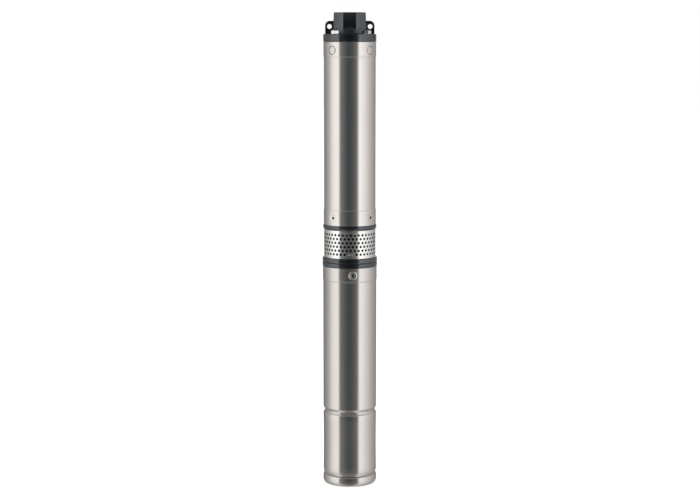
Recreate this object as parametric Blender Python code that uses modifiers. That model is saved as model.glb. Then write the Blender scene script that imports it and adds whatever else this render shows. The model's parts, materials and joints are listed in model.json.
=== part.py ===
"""A borehole submersible pump for a 100 mm well casing, standing upright on its motor.

Metres, +Z up, the shaft axis on Z, the flat foot of the motor on Z = 0. Azimuths are in degrees, measured round
the axis from the front (-Y) towards the right (+X).
"""

import math

import bmesh
import bpy
from mathutils import Matrix, Vector

MM = 0.001

# Clearances
GAP = 0.3 * MM  # between pieces that touch
RUNNING_GAP = 0.5 * MM  # between a turning piece and what it turns in
WATER_GAP = 1.5 * MM  # round an impeller
EMBED = 0.6 * MM  # how far a rib or vane reaches into the wall that carries it

# Facets of round pieces: the outer ones, the hidden ones, those the size of a disc or plug, and the small ones
ROUND = 24
HIDDEN = 12
MEDIUM = 12
SMALL = 8

# Lengths along the axis, from the foot to the spout
CAP_HEIGHT = 18.5 * MM
CHAMBER_LENGTH = 117.1 * MM
MOTOR_TUBE_LENGTH = 239.4 * MM
COLLAR_LENGTH = 23.7 * MM
MOTOR_FLANGE_HEIGHT = 7.8 * MM
INTAKE_FLANGE_HEIGHT = 8.4 * MM
WINDOW_HEIGHT = 50.4 * MM
INTAKE_RING_HEIGHT = 7.8 * MM
SLEEVE_LENGTH = 325.4 * MM
HEAD_FLANGE_HEIGHT = 13.5 * MM
SPOUT_HEIGHT = 38.0 * MM

# Outer diameters
MOTOR_DIAMETER = 96.0 * MM
COLLAR_SWELL = 0.525 * MM
COLLAR_DIAMETER = MOTOR_DIAMETER + 2 * COLLAR_SWELL
CAP_OVERHANG = 0.2 * MM
CAP_DIAMETER = MOTOR_DIAMETER + 2 * CAP_OVERHANG
FLANGE_OVERHANG = 1.05 * MM
FLANGE_DIAMETER = MOTOR_DIAMETER + 2 * FLANGE_OVERHANG
INTAKE_RING_DIAMETER = 96.2 * MM
SLEEVE_INSET = 1.9 * MM
SLEEVE_DIAMETER = MOTOR_DIAMETER - 2 * SLEEVE_INSET
STRAINER_OVERHANG = 0.05 * MM
STRAINER_DIAMETER = SLEEVE_DIAMETER + 2 * STRAINER_OVERHANG
SLEEVE_END_SWELL = 0.65 * MM
SLEEVE_END_DIAMETER = SLEEVE_DIAMETER + 2 * SLEEVE_END_SWELL
HEAD_OVERHANG = 0.5 * MM
HEAD_DIAMETER = SLEEVE_END_DIAMETER + 2 * HEAD_OVERHANG

# Sheet thicknesses
MOTOR_WALL = 1.5 * MM
SLEEVE_WALL = 1.2 * MM
STRAINER_WALL = 0.8 * MM
GUARD_WALL = 0.8 * MM

# Rolled grooves, the waist of the chamber between them, and the foot
GROOVE_WIDTH = 12.0 * MM
GROOVE_DEPTH = 2.7 * MM
GROOVE_FLOOR = 2.4 * MM
CAP_GROOVE_DEPTH = 1.8 * MM
CAP_GROOVE_WIDTH = 7.4 * MM
CHAMBER_WAIST = 0.45 * MM
FOOT_RADIUS = 7.0 * MM
CAP_WALL = 1.5 * MM
CAP_NECK_HEIGHT = 9.5 * MM
CAP_SHOULDER = 4.0 * MM
BREATHER_DIAMETER = 6.0 * MM

# Pump sleeve
SLEEVE_TOP_END = 26.1 * MM
SLEEVE_BOTTOM_END = 28.0 * MM
SLEEVE_STEP = 1.3 * MM

# Discharge head
HEAD_CHAMFER = 0.8 * MM
HEAD_SPIGOT_DEPTH = 32.0 * MM
SPOUT_FLATS_TOP = 56.6 * MM
SPOUT_FLATS_BOTTOM = 59.4 * MM
SPOUT_SIDES = 8
CONE_FOOT_DIAMETER = 66.0 * MM
CONE_HEIGHT = 10.7 * MM
CONE_SLOPE = 0.42  # how far the cone draws in for each unit of height
OUTLET_DIAMETER = 39.0 * MM
OUTLET_DEPTH = 30.0 * MM
EAR_INSET = 3.55 * MM
EAR_SPAN = HEAD_DIAMETER - 2 * EAR_INSET
EAR_HEIGHT = 23.0 * MM
EAR_CORNER_RADIUS = 8.0 * MM
EAR_THICKNESS = 7.0 * MM
EAR_HOLE_DIAMETER = 8.9 * MM
EAR_HOLE_INSET = 7.7 * MM
EAR_HOLE_OFFSET = EAR_SPAN / 2 - EAR_HOLE_INSET
EAR_HOLE_HEIGHT = 13.0 * MM
SEAM_AZIMUTH = 65.6
SEAM_WIDTH = 1.0 * MM
SEAM_DEPTH = 0.8 * MM
LEAD_NOTCH_WIDTH = 16.0 * MM

# Bolts of the head, in two opposite pairs
HEAD_BOLT_AZIMUTHS = (-41.0, 49.0, 139.0, 229.0)
HEAD_BOLT_INSET = 7.25 * MM
HEAD_BOLT_CIRCLE = HEAD_DIAMETER - 2 * HEAD_BOLT_INSET
HEAD_BOLT_DIAMETER = 8.0 * MM
HEAD_BOLT_LENGTH = 16.0 * MM
BOLT_FLATS = 13.0 * MM
HEAD_BOLT_HEAD = 6.8 * MM

# Rivets at the top of the sleeve and screws at its foot
RIVET_AZIMUTHS = (-42.0, 50.0, 138.0, 230.0)
RIVET_DROP = 14.9 * MM
RIVET_HEAD_DIAMETER = 15.4 * MM
RIVET_SHANK_DIAMETER = 6.0 * MM
RIVET_SHANK_LENGTH = 5.0 * MM
SCREW_AZIMUTHS = (-40.0, 54.0, 140.0, 234.0)
SCREW_RISE = 14.3 * MM
SCREW_HEAD_DIAMETER = 9.0 * MM
SCREW_SHANK_DIAMETER = 5.0 * MM
SCREW_LENGTH = 7.0 * MM
DIMPLE_DIAMETER = 15.4 * MM
DIMPLE_DEPTH = 0.5 * MM

# Check valve
VALVE_CHAMBER_DIAMETER = 52.0 * MM
VALVE_POCKET_DIAMETER = 60.0 * MM
VALVE_SEAT_HEIGHT = 9.0 * MM
VALVE_SEAT_BORE = 34.0 * MM
POPPET_DIAMETER = 42.0 * MM
POPPET_HEIGHT = 5.0 * MM
POPPET_TRAVEL = 7.0 * MM
STEM_DIAMETER = 5.0 * MM
STEM_LENGTH = 32.0 * MM
GUIDE_HEIGHT = 16.0 * MM
GUIDE_WALL = 3.0 * MM
GUIDE_RIBS = 3
GUIDE_RIB_HEIGHT = 6.0 * MM
GUIDE_RIB_THICKNESS = 3.0 * MM
SPRING_ROOM = 18.0 * MM
SPRING_DIAMETER = 10.0 * MM
SPRING_WIRE = 1.4 * MM
SPRING_TURNS = 3.5

# Pump stages
STAGES = 6
CARRIER_HEIGHT = 24.0 * MM
CARRIER_RIM = 5.0 * MM
CARRIER_ARMS = 3
CARRIER_ARM_THICKNESS = 6.0 * MM
BUSH_WALL = 4.0 * MM
BOWL_WALL = 2.0 * MM
BOWL_FLOOR = 2.0 * MM
EYE_DIAMETER = 33.0 * MM
IMPELLER_ROOM = 6.6 * MM  # between the wheel and the bowl's outside
IMPELLER_HUB_DIAMETER = 18.0 * MM
IMPELLER_BLADE_HEIGHT = 9.0 * MM
IMPELLER_DISC = 2.0 * MM
IMPELLER_BLADES = 5
GUIDE_PLATE = 2.5 * MM
GUIDE_PLATE_ROOM = 8.6 * MM  # between the plate and the bowl's outside
GUIDE_VANES = 4
BLADE_THICKNESS = 2.0 * MM
BLADE_SWEEP = 70.0  # degrees from the inner end of a blade to its outer end
BLADE_STEPS = 2

# Shafts and coupling
PUMP_SHAFT_FLATS = 11.0 * MM
COUPLING_DIAMETER = 28.0 * MM
COUPLING_LENGTH = 38.0 * MM
COUPLING_LIFT = 2.1 * MM
SHAFT_TOP_DIAMETER = 14.0 * MM
SHAFT_TOP_LENGTH = COUPLING_LENGTH / 2 + GAP
UPPER_JOURNAL_DIAMETER = 17.0 * MM
LOWER_JOURNAL_DIAMETER = 20.0 * MM
ROTOR_SEAT_DIAMETER = 23.0 * MM

# Intake bracket
INTAKE_SPIGOT_HEIGHT = 27.0 * MM
INTAKE_RING_WALL = 9.6 * MM
INTAKE_FLANGE_BORE = 52.0 * MM
LANTERN_INSET = 1.6 * MM  # from the spigot's outside to the wall's outside
LANTERN_WALL = 6.0 * MM
WINDOW_WIDTH = 26.0 * MM
RING_BAND_HEIGHT = 2.7 * MM
RING_STEP = 0.35 * MM  # the ring is thicker below its upper band
RING_SHOULDER_HEIGHT = 1.0 * MM
RING_TAPER = 1.6 * MM
RING_TAPER_HEIGHT = 2.9 * MM
FLANGE_CHAMFER = 0.6 * MM

# Bolts that hold the intake bracket on the motor
MOTOR_BOLT_TURN = 3.0
MOTOR_BOLTS = 4
MOTOR_BOLT_INSET = 10.2 * MM  # from the motor's outside to the bolt's axis
MOTOR_BOLT_CIRCLE = MOTOR_DIAMETER - 2 * MOTOR_BOLT_INSET
MOTOR_BOLT_DIAMETER = 8.0 * MM
MOTOR_BOLT_FLATS = 12.0 * MM
MOTOR_BOLT_HEAD = 9.4 * MM  # tall, for a spanner that comes in through the window
MOTOR_BOLT_REACH = 11.0 * MM

# Strainer
STRAINER_COLUMNS = 40
STRAINER_ROWS = 6
STRAINER_ROW_SPACING = 6.9 * MM
STRAINER_HOLE = 3.8 * MM
STRAINER_HOLE_SIDES = 6
STRAINER_TURN = 2.25  # azimuth of one hole of the top row
STRAINER_BLANK = 20.0  # degrees left whole to each side of the cable guard

# Cable guard and inlet
GUARD_AZIMUTH = 147.0
GUARD_WIDTH = 22.0 * MM
GUARD_DEPTH = 5.0 * MM
GUARD_LIFT = 1.0 * MM
INLET_DIAMETER = 9.0 * MM
INLET_INSET = 6.05 * MM  # from the flange's rim to the inlet's axis
INLET_CIRCLE = FLANGE_DIAMETER - 2 * INLET_INSET
INLET_RISE = 4.0 * MM
INLET_SIDE_ROOM = 1.5 * MM
INLET_BORE = 5.0 * MM
INLET_FLOOR = 3.0 * MM

# Motor
BRACKET_SPIGOT_DEPTH = 22.4 * MM
BRACKET_WEB = 13.9 * MM
BRACKET_SPIGOT_WALL = 6.5 * MM
BEARING_HUB_WALL = 6.0 * MM
UPPER_BEARING_DIAMETER = 40.0 * MM
UPPER_BEARING_WIDTH = 12.0 * MM
UPPER_BEARING_DROP = 41.9 * MM
LOWER_BEARING_DIAMETER = 47.0 * MM
LOWER_BEARING_WIDTH = 14.0 * MM
RACE_WALL = 2.4 * MM
BALLS = 7
CAGE_HEIGHT = 3.0 * MM
SEAL_DIAMETER = 30.0 * MM
SEAL_HEIGHT = 9.0 * MM
SEAL_BORE = 18.0 * MM
FILLER_AZIMUTH = 6.4
FILLER_DROP = 13.2 * MM
FILLER_DIAMETER = 10.5 * MM
FILLER_LENGTH = 9.0 * MM
FILLER_RING_DIAMETER = 15.6 * MM
FILLER_RING_HEIGHT = 0.9 * MM
FILLER_SINK = 0.1 * MM
LOWER_BRACKET_RISE = 33.0 * MM
LOWER_BRACKET_DROP = 12.0 * MM
LOWER_BRACKET_FLOOR = 6.0 * MM
JOURNAL_RELIEF = 2.0 * MM
CAPACITOR_DIAMETER = 40.0 * MM
CAPACITOR_LENGTH = 70.0 * MM
CAPACITOR_SOCKET_DEPTH = 16.0 * MM
SOCKET_WALL = 2.5 * MM
STATOR_DROP = 68.4 * MM  # from the collar's top to the laminations
STATOR_RISE = 16.7 * MM  # from the lower bearing bracket to the laminations
SLOT_DEPTH = 13.0 * MM
STATOR_SLOTS = 12
SLOT_WIDTH = 8.0 * MM
STATOR_YOKE = 8.4 * MM  # sheet left whole outside the slots
WINDING_HEIGHT = 12.0 * MM
WINDING_ROOM = 4.2 * MM  # between the end turns and the shell
AIR_GAP = 0.9 * MM
DIAPHRAGM_THICKNESS = 2.5 * MM
DIAPHRAGM_DEPTH = 12.0 * MM

# Heights that follow from the lengths
GROOVE_LOW = CAP_HEIGHT
GROOVE_HIGH = GROOVE_LOW + CHAMBER_LENGTH
COLLAR_BOTTOM = GROOVE_HIGH + MOTOR_TUBE_LENGTH
COLLAR_TOP = COLLAR_BOTTOM + COLLAR_LENGTH
MOTOR_FACE = COLLAR_TOP + MOTOR_FLANGE_HEIGHT
INTAKE_DECK = MOTOR_FACE + INTAKE_FLANGE_HEIGHT
RING_BOTTOM = INTAKE_DECK + WINDOW_HEIGHT
SLEEVE_BOTTOM = RING_BOTTOM + INTAKE_RING_HEIGHT
SLEEVE_TOP = SLEEVE_BOTTOM + SLEEVE_LENGTH
DECK = SLEEVE_TOP + HEAD_FLANGE_HEIGHT
SPOUT_TOP = DECK + SPOUT_HEIGHT
STACK_BOTTOM = SLEEVE_BOTTOM + INTAKE_SPIGOT_HEIGHT
STACK_TOP = SLEEVE_TOP - HEAD_SPIGOT_DEPTH
STAGE_PITCH = (STACK_TOP - CARRIER_HEIGHT - STACK_BOTTOM) / STAGES
VALVE_SEAT_TOP = STACK_TOP + VALVE_SEAT_HEIGHT
POPPET_BOTTOM = VALVE_SEAT_TOP + GAP
SPRING_BOTTOM = POPPET_BOTTOM + POPPET_HEIGHT + GAP
GUIDE_BOTTOM = SPRING_BOTTOM + SPRING_ROOM + GAP
SHAFT_JOINT = MOTOR_FACE + COUPLING_LIFT + COUPLING_LENGTH / 2
LOWER_BRACKET_TOP = GROOVE_HIGH + LOWER_BRACKET_RISE
LOWER_BRACKET_BOTTOM = GROOVE_HIGH - LOWER_BRACKET_DROP
LOWER_BEARING_BOTTOM = LOWER_BRACKET_TOP - LOWER_BEARING_WIDTH - GAP
UPPER_BEARING_TOP = MOTOR_FACE - UPPER_BEARING_DROP
STATOR_TOP = COLLAR_TOP - STATOR_DROP
STATOR_BOTTOM = LOWER_BRACKET_TOP + STATOR_RISE

# Radii that follow from the diameters and clearances
SLEEVE_INNER = SLEEVE_DIAMETER / 2 - SLEEVE_WALL
SPIGOT_RADIUS = SLEEVE_INNER - GAP
MOTOR_INNER = MOTOR_DIAMETER / 2 - MOTOR_WALL
MOTOR_FIT = MOTOR_INNER - GAP
NECK_RADIUS = MOTOR_FIT - CAP_GROOVE_DEPTH
STATOR_BORE = 2 * (MOTOR_FIT - STATOR_YOKE - SLOT_DEPTH)

parts = bpy.data.collections.new("borehole_submersible_pump")
cutters = bpy.data.collections.new("cutters")


def clear_scene():
    for obj in list(bpy.data.objects):
        bpy.data.objects.remove(obj)
    for collection in (parts, cutters):
        bpy.context.scene.collection.children.link(collection)


def material(name, colour, metallic, roughness):
    made = bpy.data.materials.new(name)
    made.use_nodes = True
    shader = made.node_tree.nodes["Principled BSDF"]
    shader.inputs["Base Color"].default_value = (*colour, 1.0)
    shader.inputs["Metallic"].default_value = metallic
    shader.inputs["Roughness"].default_value = roughness
    made.diffuse_color = (*colour, 1.0)
    return made


STEEL = material("satin_stainless_steel", (0.60, 0.58, 0.56), 1.0, 0.32)
BRIGHT = material("bright_stainless_steel", (0.75, 0.75, 0.74), 1.0, 0.15)
CASTING = material("black_coated_cast_iron", (0.022, 0.024, 0.027), 0.0, 0.42)
RUBBER = material("black_rubber", (0.02, 0.02, 0.02), 0.0, 0.7)
BRASS = material("valve_brass", (0.60, 0.44, 0.20), 1.0, 0.35)
NORYL = material("glass_filled_plastic", (0.08, 0.08, 0.085), 0.0, 0.5)
LAMINATION = material("silicon_steel_laminations", (0.30, 0.30, 0.31), 1.0, 0.5)
COPPER = material("varnished_copper_wire", (0.48, 0.18, 0.09), 1.0, 0.45)
CAPACITOR_CASE = material("capacitor_can", (0.62, 0.63, 0.64), 1.0, 0.4)


def add(name, mesh, finish, collection):
    """Links a mesh as an object: a part when it has a finish, a cutter when it has none."""
    obj = bpy.data.objects.new(name, mesh)
    collection.objects.link(obj)
    if finish:
        mesh.materials.append(finish)
    if collection is cutters:
        obj.hide_render = True
        obj.display_type = "WIRE"
    return obj


def mesh_from(build, name):
    """A mesh made by a function that fills a bmesh."""
    mesh = bpy.data.meshes.new(name)
    shape = bmesh.new()
    build(shape)
    shape.to_mesh(mesh)
    shape.free()
    return mesh


def turned(name, profile, finish=None, collection=None, steps=ROUND, closed=True):
    """A turned shape. The profile's (radius, height) points run down its outer side and, if closed, back up."""

    def build(shape):
        points = [shape.verts.new((radius, 0, height)) for radius, height in profile]
        for first, second in zip(points, points[1:]):
            shape.edges.new((first, second))
        if closed:
            shape.edges.new((points[-1], points[0]))

    obj = add(name, mesh_from(build, name), finish, collection or parts)
    screw = obj.modifiers.new("Screw", "SCREW")
    screw.axis = "Z"
    screw.angle = 2 * math.pi
    screw.steps = steps
    screw.render_steps = steps
    screw.use_merge_vertices = True
    screw.merge_threshold = 0.00001
    screw.use_smooth_shade = True
    return obj


def solid_turned(name, profile, finish=None, collection=None, steps=ROUND):
    """A turned shape whose profile starts and ends on the axis."""
    return turned(name, profile, finish, collection, steps, closed=False)


def prism(name, radius, bottom, top, sides=SMALL, finish=None, collection=None, turn=0.0, top_radius=None):
    """An upright prism or frustum about Z, its first corner turned from +X by some degrees."""

    def build(shape):
        spin = Matrix.Rotation(math.radians(turn), 4, "Z")
        bmesh.ops.create_cone(
            shape,
            cap_ends=True,
            segments=sides,
            radius1=radius,
            radius2=radius if top_radius is None else top_radius,
            depth=top - bottom,
            matrix=Matrix.Translation((0, 0, (bottom + top) / 2)) @ spin,
        )

    return add(name, mesh_from(build, name), finish, collection or cutters)


def box(name, size, centre, finish=None, collection=None):
    """A box of a size, about a centre."""

    def build(shape):
        scale = Matrix.Diagonal((*size, 1.0))
        bmesh.ops.create_cube(shape, size=1.0, matrix=Matrix.Translation(centre) @ scale)

    return add(name, mesh_from(build, name), finish, collection or cutters)


def outlined(name, outline, bottom, top, holes=(), finish=None, collection=None):
    """A flat outline with holes, extruded upright from bottom to top, as a mesh."""
    curve = bpy.data.curves.new(name, "CURVE")
    curve.dimensions = "2D"
    curve.fill_mode = "BOTH"
    curve.extrude = (top - bottom) / 2
    for ring in (outline, *holes):
        spline = curve.splines.new("POLY")
        spline.points.add(len(ring) - 1)
        for point, (x, y) in zip(spline.points, ring):
            point.co = (x, y, 0, 1)
        spline.use_cyclic_u = True
    guide = bpy.data.objects.new(name + "_outline", curve)
    guide.location.z = (bottom + top) / 2
    cutters.objects.link(guide)
    bpy.context.view_layer.update()
    graph = bpy.context.evaluated_depsgraph_get()
    mesh = bpy.data.meshes.new_from_object(guide.evaluated_get(graph))
    mesh.transform(guide.matrix_world)
    bpy.data.objects.remove(guide)
    shape = bmesh.new()
    shape.from_mesh(mesh)
    bmesh.ops.remove_doubles(shape, verts=shape.verts, dist=0.000001)
    shape.to_mesh(mesh)
    shape.free()
    return add(name, mesh, finish, collection or cutters)


def boolean(obj, other, operation):
    modifier = obj.modifiers.new(operation.title(), "BOOLEAN")
    modifier.operation = operation
    modifier.object = other
    modifier.solver = "EXACT"


def cut(obj, *others):
    for other in others:
        boolean(obj, other, "DIFFERENCE")


def join(obj, *others):
    for other in others:
        boolean(obj, other, "UNION")


def placed(obj, matrix):
    """Bakes a placement into an object's mesh, so that several can be merged or cut in one frame."""
    obj.data.transform(matrix)
    return obj


def facing(azimuth):
    """Unit vector from the axis towards an azimuth."""
    angle = math.radians(azimuth)
    return Vector((math.sin(angle), -math.cos(angle), 0.0))


def radial(azimuth, height, radius=0.0):
    """A placement whose +Z looks outwards at an azimuth, at a height and a distance from the axis."""
    out = facing(azimuth)
    up = Vector((0, 0, 1))
    side = up.cross(out)
    turn = Matrix((side, up, out)).transposed().to_4x4()
    return Matrix.Translation(out * radius + Vector((0, 0, height))) @ turn


def upright(azimuth, radius, height=0.0):
    """A placement on a circle about the axis, +Z up, turned with the azimuth."""
    spin = Matrix.Rotation(math.radians(azimuth), 4, "Z")
    return Matrix.Translation(facing(azimuth) * radius + Vector((0, 0, height))) @ spin


def merged(name, meshes):
    """One cutter from several meshes that stand clear of each other."""

    def build(shape):
        for mesh in meshes:
            shape.from_mesh(mesh)

    return add(name, mesh_from(build, name), None, cutters)


def drill(name, diameter, start, end, placements, sides=SMALL):
    """Several equal bores as one cutter, each along its placement's Z."""
    bores = []
    for place in placements:
        bore = prism(name, diameter / 2, start, end, sides)
        bores.append(placed(bore, place))
    whole = merged(name, [bore.data for bore in bores])
    for bore in bores:
        bpy.data.objects.remove(bore)
    return whole


def corner(across_flats, sides=6):
    """Corner radius of a regular polygon from its width across flats."""
    return across_flats / 2 / math.cos(math.pi / sides)


def running_bore(radius, steps=HIDDEN):
    """Corner radius of a faceted bore that clears a round piece turning in it."""
    return (radius + RUNNING_GAP) / math.cos(math.pi / steps)


def arc_blade(inner, outer, thickness, start):
    """Outline of a backward-swept blade from one radius to another, its angle growing with the radius."""
    middle = []
    for step in range(BLADE_STEPS + 1):
        share = step / BLADE_STEPS
        radius = inner + (outer - inner) * share
        angle = math.radians(start + BLADE_SWEEP * share)
        middle.append(Vector((radius * math.cos(angle), radius * math.sin(angle))))
    left, right = [], []
    for index, point in enumerate(middle):
        before = middle[max(index - 1, 0)]
        after = middle[min(index + 1, BLADE_STEPS)]
        along = (after - before).normalized()
        across = Vector((-along.y, along.x)) * thickness / 2
        left.append(tuple(point + across))
        right.append(tuple(point - across))
    return left + right[::-1]


def bolt(name, place, shank, shank_length, flats, head):
    """A hexagon bolt whose head sits on its placement's origin, the shank going down."""
    profile_head = prism(name + "_head", corner(flats), GAP, GAP + head, 6)
    shaft = prism(name, shank / 2, -shank_length, GAP + head / 2, SMALL, BRIGHT, parts)
    join(shaft, placed(profile_head, place))
    placed(shaft, place)
    return shaft


def rounded_corner(centre_x, centre_y, radius, start, end, steps):
    """Points of an arc in a flat outline, angles in degrees."""
    points = []
    for step in range(steps + 1):
        angle = math.radians(start + (end - start) * step / steps)
        points.append((centre_x + radius * math.cos(angle), centre_y + radius * math.sin(angle)))
    return points


def discharge_head():
    radius = HEAD_DIAMETER / 2
    cone_top = CONE_FOOT_DIAMETER / 2 - CONE_HEIGHT * CONE_SLOPE
    head = solid_turned(
        "discharge_head",
        [
            (0, DECK + CONE_HEIGHT),
            (cone_top, DECK + CONE_HEIGHT),
            (CONE_FOOT_DIAMETER / 2, DECK),
            (radius - HEAD_CHAMFER, DECK),
            (radius, DECK - HEAD_CHAMFER),
            (radius, SLEEVE_TOP),
            (SPIGOT_RADIUS, SLEEVE_TOP),
            (SPIGOT_RADIUS, STACK_TOP),
            (0, STACK_TOP),
        ],
        CASTING,
    )
    spout = prism(
        "spout",
        corner(SPOUT_FLATS_BOTTOM, SPOUT_SIDES),
        DECK - EMBED,
        SPOUT_TOP,
        SPOUT_SIDES,
        turn=180 / SPOUT_SIDES,
        top_radius=corner(SPOUT_FLATS_TOP, SPOUT_SIDES),
    )
    half = EAR_SPAN / 2
    top = EAR_HEIGHT - EAR_CORNER_RADIUS
    right = rounded_corner(half - EAR_CORNER_RADIUS, top, EAR_CORNER_RADIUS, 0, 90, 3)
    left = [(-x, y) for x, y in reversed(right)]
    outline = [(half, -EMBED), *right, *left, (-half, -EMBED)]
    ears = outlined("ears", outline, -EAR_THICKNESS / 2, EAR_THICKNESS / 2)
    placed(ears, radial(0, DECK))
    join(head, spout, ears)

    eyes = drill(
        "eyes",
        EAR_HOLE_DIAMETER,
        -EAR_THICKNESS,
        EAR_THICKNESS,
        [
            radial(0, DECK + EAR_HOLE_HEIGHT) @ Matrix.Translation((side * EAR_HOLE_OFFSET, 0, 0))
            for side in (-1, 1)
        ],
        MEDIUM,
    )
    chamber = VALVE_CHAMBER_DIAMETER / 2
    pocket = VALVE_POCKET_DIAMETER / 2
    outlet = OUTLET_DIAMETER / 2
    passage = solid_turned(
        "passage",
        [
            (0, SPOUT_TOP + EMBED),
            (outlet, SPOUT_TOP + EMBED),
            (outlet, SPOUT_TOP - OUTLET_DEPTH),
            (chamber, GUIDE_BOTTOM + GUIDE_RIB_HEIGHT),
            (chamber, VALVE_SEAT_TOP),
            (pocket, VALVE_SEAT_TOP),
            (pocket, STACK_TOP - EMBED),
            (0, STACK_TOP - EMBED),
        ],
        collection=cutters,
        steps=2 * HIDDEN,
    )
    bolt_bores = drill(
        "bolt_bores",
        HEAD_BOLT_DIAMETER + 2 * GAP,
        DECK - HEAD_BOLT_LENGTH - GAP,
        DECK + EMBED,
        [upright(azimuth, HEAD_BOLT_CIRCLE / 2) for azimuth in HEAD_BOLT_AZIMUTHS],
    )
    rivet_bores = drill(
        "rivet_bores",
        RIVET_SHANK_DIAMETER + 2 * GAP,
        SPIGOT_RADIUS - RIVET_SHANK_LENGTH - GAP,
        HEAD_DIAMETER / 2,
        [radial(azimuth, SLEEVE_TOP - RIVET_DROP) for azimuth in RIVET_AZIMUTHS],
    )
    notch = box(
        "lead_notch",
        (LEAD_NOTCH_WIDTH, HEAD_FLANGE_HEIGHT + 2 * GAP, HEAD_DIAMETER / 2),
        (0, 0, HEAD_DIAMETER / 4),
    )
    placed(notch, radial(GUARD_AZIMUTH, SLEEVE_TOP + HEAD_FLANGE_HEIGHT / 2, SPIGOT_RADIUS + GAP))
    seam = box("seam", (SEAM_WIDTH, HEAD_FLANGE_HEIGHT - 2 * HEAD_CHAMFER, 2 * SEAM_DEPTH), (0, 0, 0))
    placed(seam, radial(SEAM_AZIMUTH, SLEEVE_TOP + HEAD_FLANGE_HEIGHT / 2, HEAD_DIAMETER / 2))
    cut(head, eyes, passage, bolt_bores, rivet_bores, notch, seam)

    stem_bore = running_bore(STEM_DIAMETER / 2, SMALL)
    boss = turned(
        "stem_guide",
        [
            (stem_bore + GUIDE_WALL, GUIDE_BOTTOM + GUIDE_HEIGHT),
            (stem_bore + GUIDE_WALL, GUIDE_BOTTOM),
            (stem_bore, GUIDE_BOTTOM),
            (stem_bore, GUIDE_BOTTOM + GUIDE_HEIGHT),
        ],
        collection=cutters,
        steps=SMALL,
    )
    ribs = []
    rib_length = chamber + EMBED - stem_bore - EMBED
    for index in range(GUIDE_RIBS):
        rib = box(
            "guide_rib",
            (GUIDE_RIB_THICKNESS, rib_length, GUIDE_RIB_HEIGHT - 2 * EMBED),
            (0, -stem_bore - EMBED - rib_length / 2, GUIDE_BOTTOM + GUIDE_RIB_HEIGHT / 2),
        )
        spin = Matrix.Rotation(math.radians(360 / GUIDE_RIBS * index), 4, "Z")
        ribs.append(placed(rib, spin))
    join(head, boss, *ribs)
    return head


def head_bolts():
    for index, azimuth in enumerate(HEAD_BOLT_AZIMUTHS):
        bolt(
            f"head_bolt_{index + 1}",
            upright(azimuth, HEAD_BOLT_CIRCLE / 2, DECK) @ Matrix.Rotation(math.radians(30), 4, "Z"),
            HEAD_BOLT_DIAMETER,
            HEAD_BOLT_LENGTH,
            BOLT_FLATS,
            HEAD_BOLT_HEAD,
        )


def check_valve():
    seat_radius = VALVE_POCKET_DIAMETER / 2 - GAP
    bore = VALVE_SEAT_BORE / 2
    seat_top = VALVE_SEAT_TOP - GAP
    turned(
        "valve_seat",
        [
            (seat_radius, seat_top),
            (seat_radius, STACK_TOP),
            (bore, STACK_TOP),
            (bore, seat_top),
        ],
        BRASS,
        steps=2 * HIDDEN,
    )
    poppet_top = POPPET_BOTTOM + POPPET_HEIGHT
    stem = STEM_DIAMETER / 2
    poppet = solid_turned(
        "valve_poppet",
        [
            (0, POPPET_BOTTOM + STEM_LENGTH),
            (stem, POPPET_BOTTOM + STEM_LENGTH),
            (stem, poppet_top),
            (POPPET_DIAMETER / 2, poppet_top),
            (POPPET_DIAMETER / 2, POPPET_BOTTOM),
            (0, POPPET_BOTTOM),
        ],
        BRASS,
        steps=HIDDEN,
    )
    spring()
    return poppet


def spring():
    """A compression spring between the poppet and the stem guide, its wire centre kept half a wire inside."""
    steps_per_turn = 8
    count = int(SPRING_TURNS * steps_per_turn) + 1
    low = SPRING_BOTTOM + SPRING_WIRE / 2
    rise = SPRING_ROOM - SPRING_WIRE
    curve = bpy.data.curves.new("valve_spring", "CURVE")
    curve.dimensions = "3D"
    curve.bevel_depth = SPRING_WIRE / 2
    curve.bevel_resolution = 0
    curve.use_fill_caps = True
    spline = curve.splines.new("POLY")
    spline.points.add(count - 1)
    for index, point in enumerate(spline.points):
        share = index / (count - 1)
        angle = 2 * math.pi * SPRING_TURNS * share
        radius = SPRING_DIAMETER / 2
        point.co = (radius * math.cos(angle), radius * math.sin(angle), low + rise * share, 1)
    obj = bpy.data.objects.new("valve_spring", curve)
    curve.materials.append(BRIGHT)
    parts.objects.link(obj)
    return obj


def pump_sleeve():
    outer = SLEEVE_DIAMETER / 2
    end = SLEEVE_END_DIAMETER / 2
    top = SLEEVE_TOP - GAP
    bottom = SLEEVE_BOTTOM + GAP
    sleeve = turned(
        "pump_sleeve",
        [
            (end, top),
            (end, SLEEVE_TOP - SLEEVE_TOP_END),
            (outer, SLEEVE_TOP - SLEEVE_TOP_END - SLEEVE_STEP),
            (outer, SLEEVE_BOTTOM + SLEEVE_BOTTOM_END + SLEEVE_STEP),
            (end, SLEEVE_BOTTOM + SLEEVE_BOTTOM_END),
            (end, bottom),
            (SLEEVE_INNER, bottom),
            (SLEEVE_INNER, top),
        ],
        STEEL,
    )
    rivets = [radial(azimuth, SLEEVE_TOP - RIVET_DROP) for azimuth in RIVET_AZIMUTHS]
    screws = [radial(azimuth, SLEEVE_BOTTOM + SCREW_RISE) for azimuth in SCREW_AZIMUTHS]
    far = end + EMBED
    holes = drill("rivet_holes", RIVET_HEAD_DIAMETER + 2 * GAP, SLEEVE_INNER / 2, far, rivets, MEDIUM)
    screw_holes = drill("screw_holes", SCREW_HEAD_DIAMETER + 2 * GAP, SLEEVE_INNER / 2, far, screws)
    dimples = drill("dimples", DIMPLE_DIAMETER, end - DIMPLE_DEPTH, far, screws, MEDIUM)
    cut(sleeve, holes, screw_holes, dimples)
    return sleeve


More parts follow.
